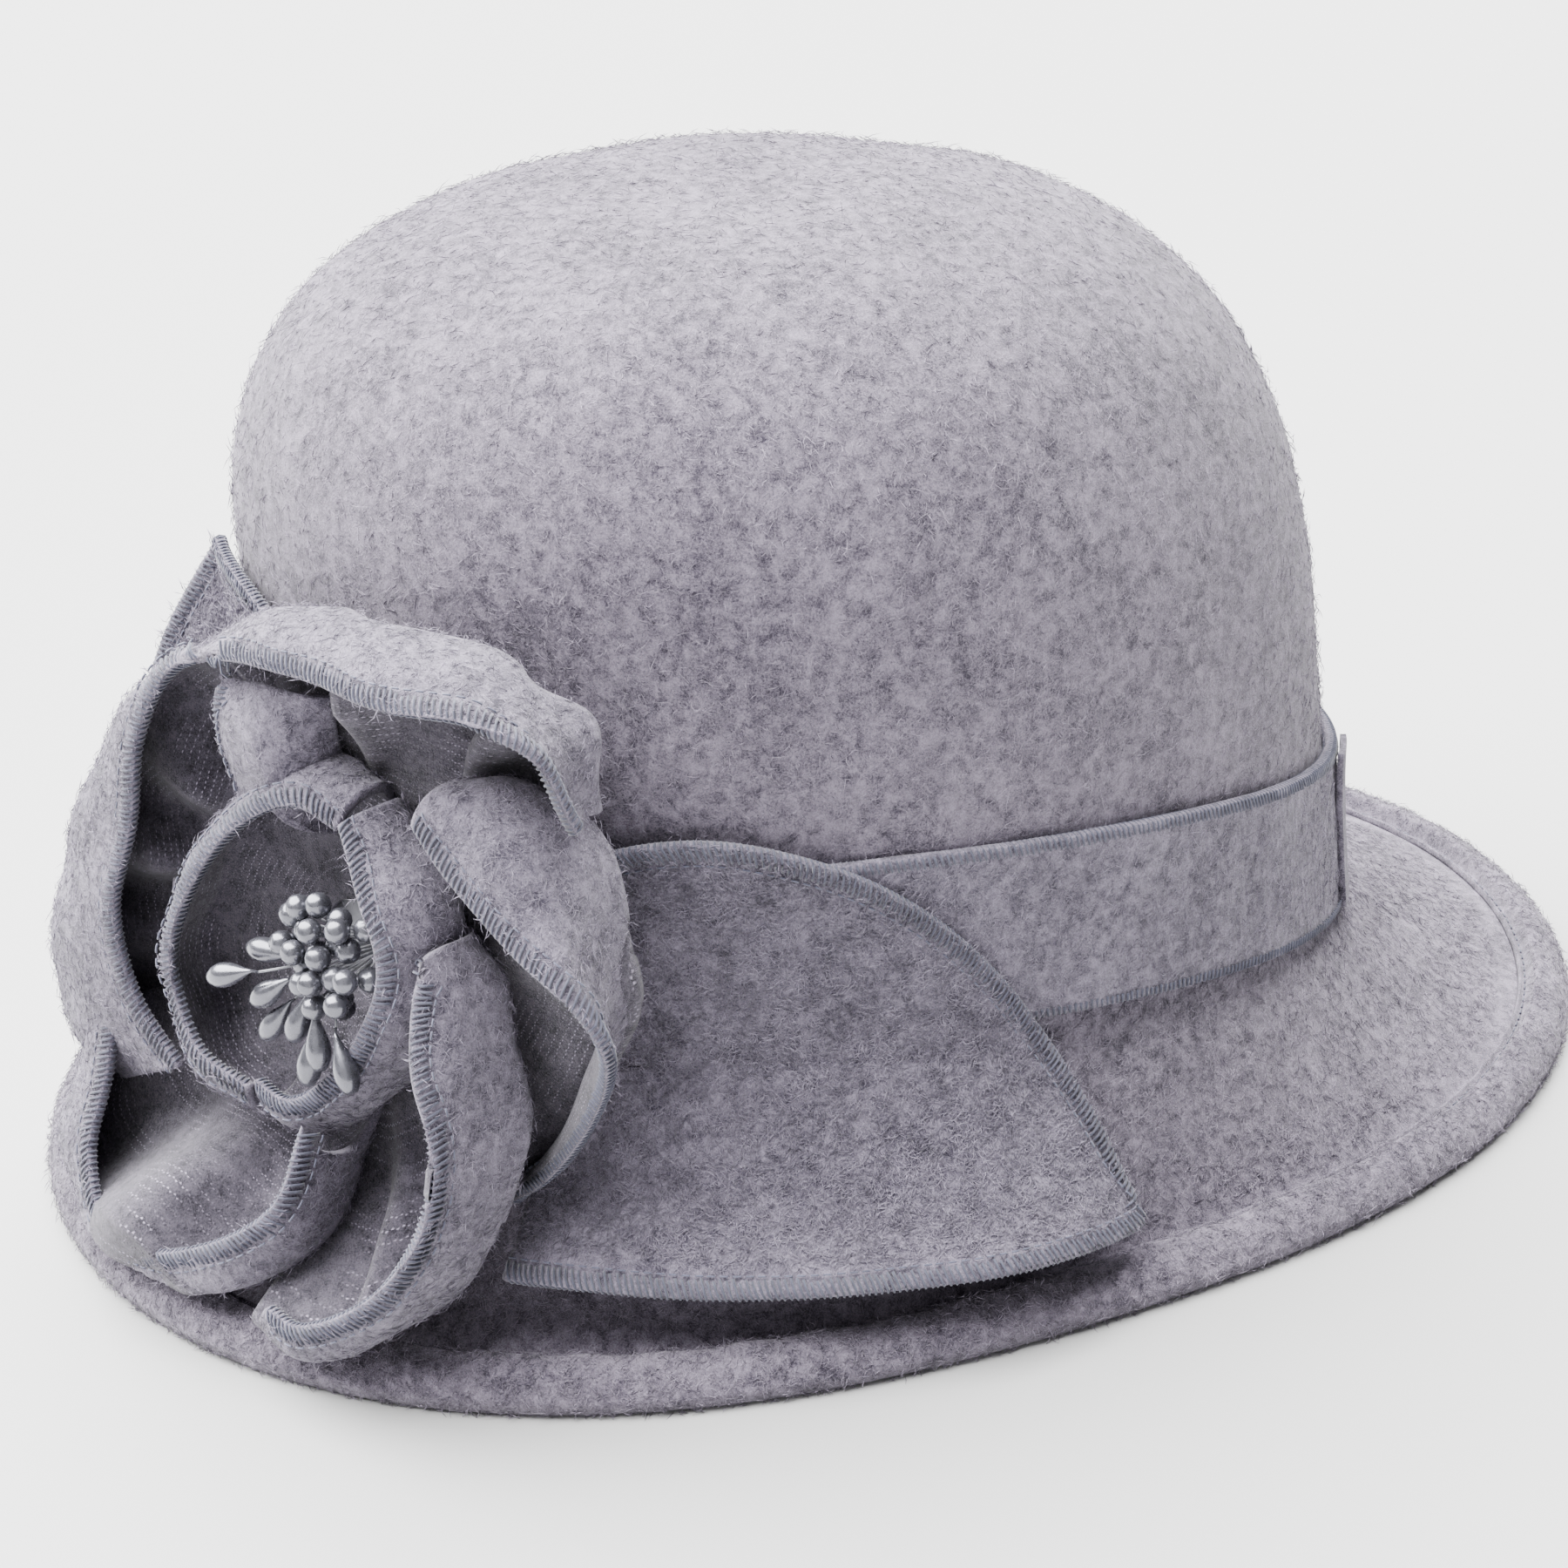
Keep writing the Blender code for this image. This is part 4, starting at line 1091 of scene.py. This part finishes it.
def petal_grid(rim, belly, folds, root_radius, root_out, clear, columns=110, rows=60):
    """A petal: lines from root to belly to rim, each two quarter ellipses, with folds pressed into them.

    From its root a line runs out level and turns up to the belly; from the belly it goes on up and turns in
    to the rim. A fold moves the cloth towards the flower's middle and outwards, as a bell curve round its own
    place, and leaves the rim and the root where they are.
    """
    rim, belly = through(rim, columns), through(belly, columns)
    centre = np.array([*CUP_CENTRE, 0])
    way = unit((belly - centre) * (1, 1, 0))
    root = centre + way * root_radius + (0, 0, root_out)
    low = np.linspace(0, np.pi / 2, rows // 2)[:, None, None]
    high = np.linspace(0, np.pi / 2, rows - rows // 2 + 1)[1:, None, None]
    lower = root + (belly - root) * (PLAN * np.sin(low) + OUT * (1 - np.cos(low)))
    upper = belly + (rim - belly) * (PLAN * (1 - np.cos(high)) + OUT * np.sin(high))
    grid = np.vstack([lower, upper])
    down = np.linspace(1, 0, rows)[:, None]
    along = np.linspace(0, 1, columns)[None, :]
    for where, depth, width, tall, inwards, outwards in folds:
        share = np.exp(-((along - where) / width) ** 2 - ((down - depth) / tall) ** 2)
        share = (share * np.clip(down * 6, 0, 1) * np.clip((1 - down) * 4, 0, 1))[..., None]
        grid = grid + share * (outwards * OUT - inwards * way)
    gathers = np.sin(along * np.pi * 9 + 1) * np.sin(np.clip(down * 1.15, 0, 1) * np.pi) * 0.9
    grid = in_flower((grid + gathers[..., None] * OUT) / 1000)
    return lift_off(roughened(grid, 0.0007, 0.022, 41), clear)


def fold_grid():
    """The inner fold: quarter ellipses from its left edge up to its crest, and down to its right edge."""
    left = through([(-23, 45, 28), (-24, 40, 28), (-23, 34, 27), (-20, 25, 25)], 40)
    crest = through([(-13, 46, 27), (-13, 40, 30), (-11, 33, 30), (-9, 25, 28)], 40)
    right = through([(-3, 46, 23), (-4, 38, 20), (-5, 29, 17), (-5, 20, 15)], 40)
    turn = np.linspace(0, np.pi, 36)[:, None, None]
    half = np.where(turn < np.pi / 2, 1 - np.sin(turn), 0)
    other = np.where(turn >= np.pi / 2, 1 - np.sin(turn), 0)
    grid = crest + (left - crest) * (PLAN * np.cos(np.minimum(turn, np.pi / 2)) + OUT * half)
    grid = grid + (right - crest) * (PLAN * -np.cos(np.maximum(turn, np.pi / 2)) + OUT * other)
    return roughened(in_flower(grid / 1000)[::-1], 0.0005, 0.012, 43)


class HAT_OT_petals(bpy.types.Operator):
    """Makes the flower's outer petals, its cup and the fold between them."""
    bl_idname = "hat.petals"
    bl_label = "Petals"

    def execute(self, context):
        inside = in_flower(np.array([*CUP_CENTRE, 26]) / 1000)
        over = LEAF_OUT + GAP + context.scene.hat_flower.cloth / 2
        for name, (rim, belly, folds) in PETALS.items():
            clear = over + (0.0055 if "right" in name else 0.0)
            self.petal(name, petal_grid(rim, belly, folds, ROOT_RADIUS, ROOT_OUT, clear), inside)
        for name, (rim, belly) in CUP_PETALS.items():
            grid = petal_grid(rim, belly, [], ROOT_RADIUS * 0.6, ROOT_OUT + 2.5, over + 0.003)
            self.petal(name, grid, inside)
        self.petal("petal_fold", fold_grid(), in_flower(np.array([-12, 38, 10]) / 1000))
        return {"FINISHED"}

    def petal(self, name, grid, inside):
        """One petal with its edging."""
        thickness = bpy.context.scene.hat_flower.cloth
        piece = cloth(name + "_cloth", grid, thickness, cloth_finishes(), "knit", inside, [name])
        edges = rim_edging(name + "_edging", grid, inside, thickness, [name + "_overlock"])
        GRIDS[name] = grid


class HAT_OT_upper_leaf(bpy.types.Operator):
    """Makes the leaf that stands behind the flower's upper petals."""
    bl_idname = "hat.upper_leaf"
    bl_label = "Upper Leaf"

    def execute(self, context):
        columns = 120
        edge = through(UPPER_LEAF, columns) / 1000
        reach = np.linalg.norm(edge[:, :2], axis=1, keepdims=True)
        root = np.hstack([edge[:, :2] / reach * 0.018, np.full_like(reach, 0.006)])
        share = np.linspace(0, 1, 50)[:, None, None]
        vein = 0.0008 * np.sin(np.linspace(0, np.pi * 3, columns)) * np.sin(share[..., 0] * np.pi)
        grid = in_flower(root + (edge - root) * share + vein[..., None] * OUT)
        grid = lift_off(grid, LEAF_OUT - LEAF / 2)
        inside = np.array([0, 0, FLOWER_HEIGHT])
        leaf = cloth("upper_leaf", grid, LEAF, cloth_finishes(), "knit", inside, ["leaf_upper"])
        edges = rim_edging("upper_leaf_edging", grid, inside, LEAF, ["leaf_upper_overlock"])
        GRIDS["upper_leaf"] = grid
        return {"FINISHED"}


class HAT_OT_flower_middle(bpy.types.Operator):
    """Makes the stamens, the stiff round behind the petals and the thread that ties it on."""
    bl_idname = "hat.flower_middle"
    bl_label = "Stamens and Backing"

    def execute(self, context):
        self.stamens(context.scene.hat_flower.stamens)
        rows, columns = 40, 72
        turn = round_ring(columns)
        profile = through([(0.0005, 8.1), (10, 8.1), (13.6, 8.3), (14, 8.9), (13.6, 9.5), (10, 9.7),
                           (0.0005, 9.7)], rows) / 1000
        ring = np.stack([np.cos(turn), np.sin(turn)], -1)
        height = np.broadcast_to(profile[:, 1:, None], (rows, columns, 1))
        points = in_flower(np.concatenate([profile[:, :1, None] * ring, height], -1)).reshape(-1, 3)
        ends = [np.arange(columns)[::-1].tolist(), (np.arange(columns) + (rows - 1) * columns).tolist()]
        add_piece("flower_stiffener", points, grid_faces(rows, columns, wrap=True).tolist() + ends,
                  [finish("stiffened felt")], "stiffener", ["flower_base"])
        wind = np.linspace(0, 2 * np.pi * 7, 200)
        rise = np.linspace(BAND_OUT + 0.0008, 0.0078, 200)
        shank = np.stack([0.0011 * np.cos(wind), 0.0011 * np.sin(wind), rise], -1)
        add_tubes("flower_tie", in_flower(shank)[None], 0.0004, 8, "edging thread", "thread", ["flower_tack"])
        return {"FINISHED"}

    def stamens(self, count):
        """Stems that each swell to a drop at the end.

        Round drops stand on a sunflower spiral: its angle grows by the golden angle, its radius by a square
        root. The last quarter are long drops that fan out at the lower left. Drops that touch are pushed
        apart in small steps. A stem is a quadratic curve from the bunch's root. Sizes are in millimetres.
        """
        round_share, sides, stem_steps, drop_steps = 0.74, 14, 7, 14
        k = np.arange(count)
        draw = np.random.default_rng(11)
        low = (k >= count * round_share).astype(float)
        fan = np.radians(np.linspace(190, 292, int(low.sum())))
        spin = k * np.pi * (3 - np.sqrt(5)) + 0.2 * draw.normal(size=count)
        spin[low > 0] = fan
        spread = np.where(low > 0, 14 + 4.5 * (k % 2), 10.0 * np.sqrt((k + 0.5) / count / round_share))
        head = np.stack([8 + spread * np.cos(spin), 5 + spread * np.sin(spin),
                         34 - low - 0.03 * (1 - low) * spread ** 2], -1)
        head = head + draw.normal(size=(count, 3)) * (0.5, 0.5, 1.8)
        for _ in range(60):
            apart = head[:, None] - head
            far = np.linalg.norm(apart, axis=-1) + np.eye(count) * 99
            head = head + (apart / far[..., None] * np.clip(4.3 - far, 0, 1)[..., None] * 0.2).sum(1)
        root = np.stack([4 + 1.6 * np.cos(spin), 2 + 1.6 * np.sin(spin), np.full(count, 13.5)], -1)
        bend = np.stack([0.30 - 0.2 * low, 0.30 - 0.2 * low, 0.62 + 0.32 * low], -1)
        middle = root + bend * (head - root)
        share = np.linspace(0, 1, 9)[:, None]
        stem = ((1 - share) ** 2 * root[:, None] + 2 * share * (1 - share) * middle[:, None]
                + share ** 2 * head[:, None])
        level = np.stack([np.cos(spin), np.sin(spin), np.zeros(count)], -1)
        way = unit(unit(head - middle) + 3.5 * low[:, None] * level)
        length = 4.6 + 6.5 * low + 0.3 * draw.normal(size=count)
        along = np.linspace(0, 1, drop_steps + 1)[:-1]
        round_drop, long_drop = np.sin(np.pi * along) ** 0.55, np.sin(np.pi * along ** 1.5) ** 0.8
        drop = round_drop + (long_drop - round_drop) * low[:, None]
        size = length[:, None, None]
        drops = head[:, None] + way[:, None] * (along[:, None] * size - size / 2)
        radius = np.hstack([np.full((count, stem_steps), 0.22), 1.95 * drop + 0.25])
        paths = in_flower(np.concatenate([stem[:, :stem_steps], drops], 1) / 1000)
        points, faces = tubes(paths, radius / 1000, sides)
        bunch = add_piece("stamen_bunch", points, faces, [finish("pearl lacquer"), finish("stamen stem")],
                          "pearl", ["stamen_bundle"])
        walls = (stem_steps + drop_steps - 1) * sides
        on_wall = np.arange(walls) < (stem_steps - 1) * sides
        on_stem = np.r_[np.tile(on_wall, count), np.zeros(len(faces) - walls * count, bool)]
        bunch.data.polygons.foreach_set("material_index", on_stem.astype(int))


class HAT_OT_nap(bpy.types.Operator):
    """Makes the loose hairs that stand on felt and cloth."""
    bl_idname = "hat.nap"
    bl_label = "Nap"

    def execute(self, context):
        felt, knit = context.scene.hat_felt, context.scene.hat_knit
        brim, crown = soften(brim_grid()), soften(crown_grid())
        hem_hairs = felt.nap_hairs * 3 // 4
        for name, grid, length, hairs, seed in (
                ("crown_nap", crown, felt.nap_length, felt.nap_hairs, 1),
                ("brim_nap", brim[6:], felt.nap_length, felt.nap_hairs, 2),
                ("hem_nap", GRIDS["hem"], felt.nap_length * 0.8, hem_hairs, 5)):
            nap(name, [grid], length, hairs, "felt hair", "felt", seed, lift=0.5)
        theta = np.linspace(0, 2 * np.pi, 400)
        z = foot(theta) + np.linspace(0.003, 0.0316, 12)[:, None]
        band = on_felt(theta[None, :], z, BAND_OUT + 0.0001)
        nap("band_nap", [band], knit.nap_length, knit.nap_hairs // 2, "knit hair", "knit", 3, lift=0.4)
        for name, chosen in (("leaf_nap", ("side_leaf", "upper_leaf")), ("petal_nap", tuple(CUTS))):
            grids = [self.outward(piece) for piece in chosen]
            nap(name, grids, knit.nap_length, knit.nap_hairs, "knit hair", "knit", 4, lift=0.4,
                off=context.scene.hat_flower.cloth / 2)
        return {"FINISHED"}

    def outward(self, name):
        """A cloth's grid with its right side out."""
        cup = in_flower(np.array([*CUP_CENTRE, 26]) / 1000)
        return facing_away(GRIDS[name], np.array([0, 0, FLOWER_HEIGHT]) if "leaf" in name else cup)


class HAT_OT_stage(bpy.types.Operator):
    """Makes the floor, the lights and the camera."""
    bl_idname = "hat.stage"
    bl_label = "Studio"

    def execute(self, context):
        studio = context.scene.hat_studio
        floor = self.floor(studio)
        self.lights(context, studio)
        self.camera(context)
        return {"FINISHED"}

    def floor(self, studio):
        """A flat square of floor with a faint unevenness in its tone."""
        recipe = Recipe("studio floor", Roughness=0.8)
        tone = recipe.noise(recipe.place(), 0.4)
        base = recipe.mix(tone, colour(studio.floor, 0.985), colour(studio.floor, 1.0))
        made = recipe.surface(Base_Color=base)
        mesh = bpy.data.meshes.new("studio_floor")
        side = 12
        corners = [(-side, -side, 0), (side, -side, 0), (side, side, 0), (-side, side, 0)]
        mesh.from_pydata(corners, [], [(0, 1, 2, 3)])
        mesh.materials.append(made)
        floor = bpy.data.objects.new("studio_floor", mesh)
        bpy.context.scene.collection.objects.link(floor)
        return floor

    def lights(self, context, studio):
        """A white room, a very wide light from above and behind, and a weak one from the front."""
        world = bpy.data.worlds.new("studio_room")
        world.use_nodes = True
        room = world.node_tree.nodes["Background"]
        room.inputs["Color"].default_value = (1, 1, 1, 1)
        room.inputs["Strength"].default_value = studio.surround
        context.scene.world = world
        lamps = (("overhead", (-0.40, -0.22, 0.89), 90, studio.overhead),
                 ("front_fill", (0.75, -0.55, 0.5), 60, studio.overhead * 0.02))
        for name, towards, spread, strength in lamps:
            lamp = bpy.data.lights.new(name, "SUN")
            lamp.angle = np.radians(spread)
            lamp.energy = strength
            holder = bpy.data.objects.new(name, lamp)
            back = unit(np.array(towards))
            across = unit(np.cross((0, 1, 0), back))
            turn = Matrix(np.stack([across, np.cross(back, across), back], 1).tolist())
            holder.matrix_world = turn.to_4x4()
            context.scene.collection.objects.link(holder)

    def camera(self, context):
        """Stands off the hat's left front, looking down at it."""
        azimuth, elevation, roll = np.radians((70.0, 26.34, -2.04))
        target, distance = np.array([-0.0033, -0.0081, 0.0574]), 0.5774
        back = np.array([np.sin(azimuth) * np.cos(elevation), -np.cos(azimuth) * np.cos(elevation),
                         np.sin(elevation)])
        level = np.array([np.cos(azimuth), np.sin(azimuth), 0])
        upright = np.cross(back, level)
        right = np.cos(roll) * level + np.sin(roll) * upright
        lens = bpy.data.cameras.new("camera")
        lens.lens = 66.546
        lens.sensor_width = 36
        holder = bpy.data.objects.new("camera", lens)
        turn = Matrix(np.stack([right, np.cross(back, right), back], 1).tolist())
        holder.matrix_world = Matrix.Translation(target + distance * back) @ turn.to_4x4()
        context.scene.collection.objects.link(holder)
        context.scene.camera = holder


OPERATORS = (HAT_OT_felt_body, HAT_OT_brim_hem, HAT_OT_hat_band, HAT_OT_sweatband, HAT_OT_side_leaf,
             HAT_OT_upper_leaf, HAT_OT_petals, HAT_OT_flower_middle, HAT_OT_nap, HAT_OT_stage)


class HAT_PT_panel(bpy.types.Panel):
    """Lists the hat's pieces, in the order that they are made."""
    bl_idname = "HAT_PT_panel"
    bl_label = "Felt Cloche Hat"
    bl_space_type = "VIEW_3D"
    bl_region_type = "UI"
    bl_category = "Hat"

    def draw(self, context):
        for group, settings in SETTINGS.items():
            box = self.layout.box()
            for name in settings.__annotations__:
                box.prop(getattr(context.scene, group), name)
        for operator in OPERATORS:
            self.layout.operator(operator.bl_idname)


def register():
    for made in (*SETTINGS.values(), *OPERATORS, HAT_PT_panel):
        bpy.utils.register_class(made)
    for name, settings in SETTINGS.items():
        setattr(bpy.types.Scene, name, PointerProperty(type=settings))


def unregister():
    for name in SETTINGS:
        delattr(bpy.types.Scene, name)
    for made in reversed((*SETTINGS.values(), *OPERATORS, HAT_PT_panel)):
        bpy.utils.unregister_class(made)


def main():
    """Makes every piece in order."""
    register()
    for operator in OPERATORS:
        group, name = operator.bl_idname.split(".")
        getattr(getattr(bpy.ops, group), name)()


if __name__ == "__main__":
    main()
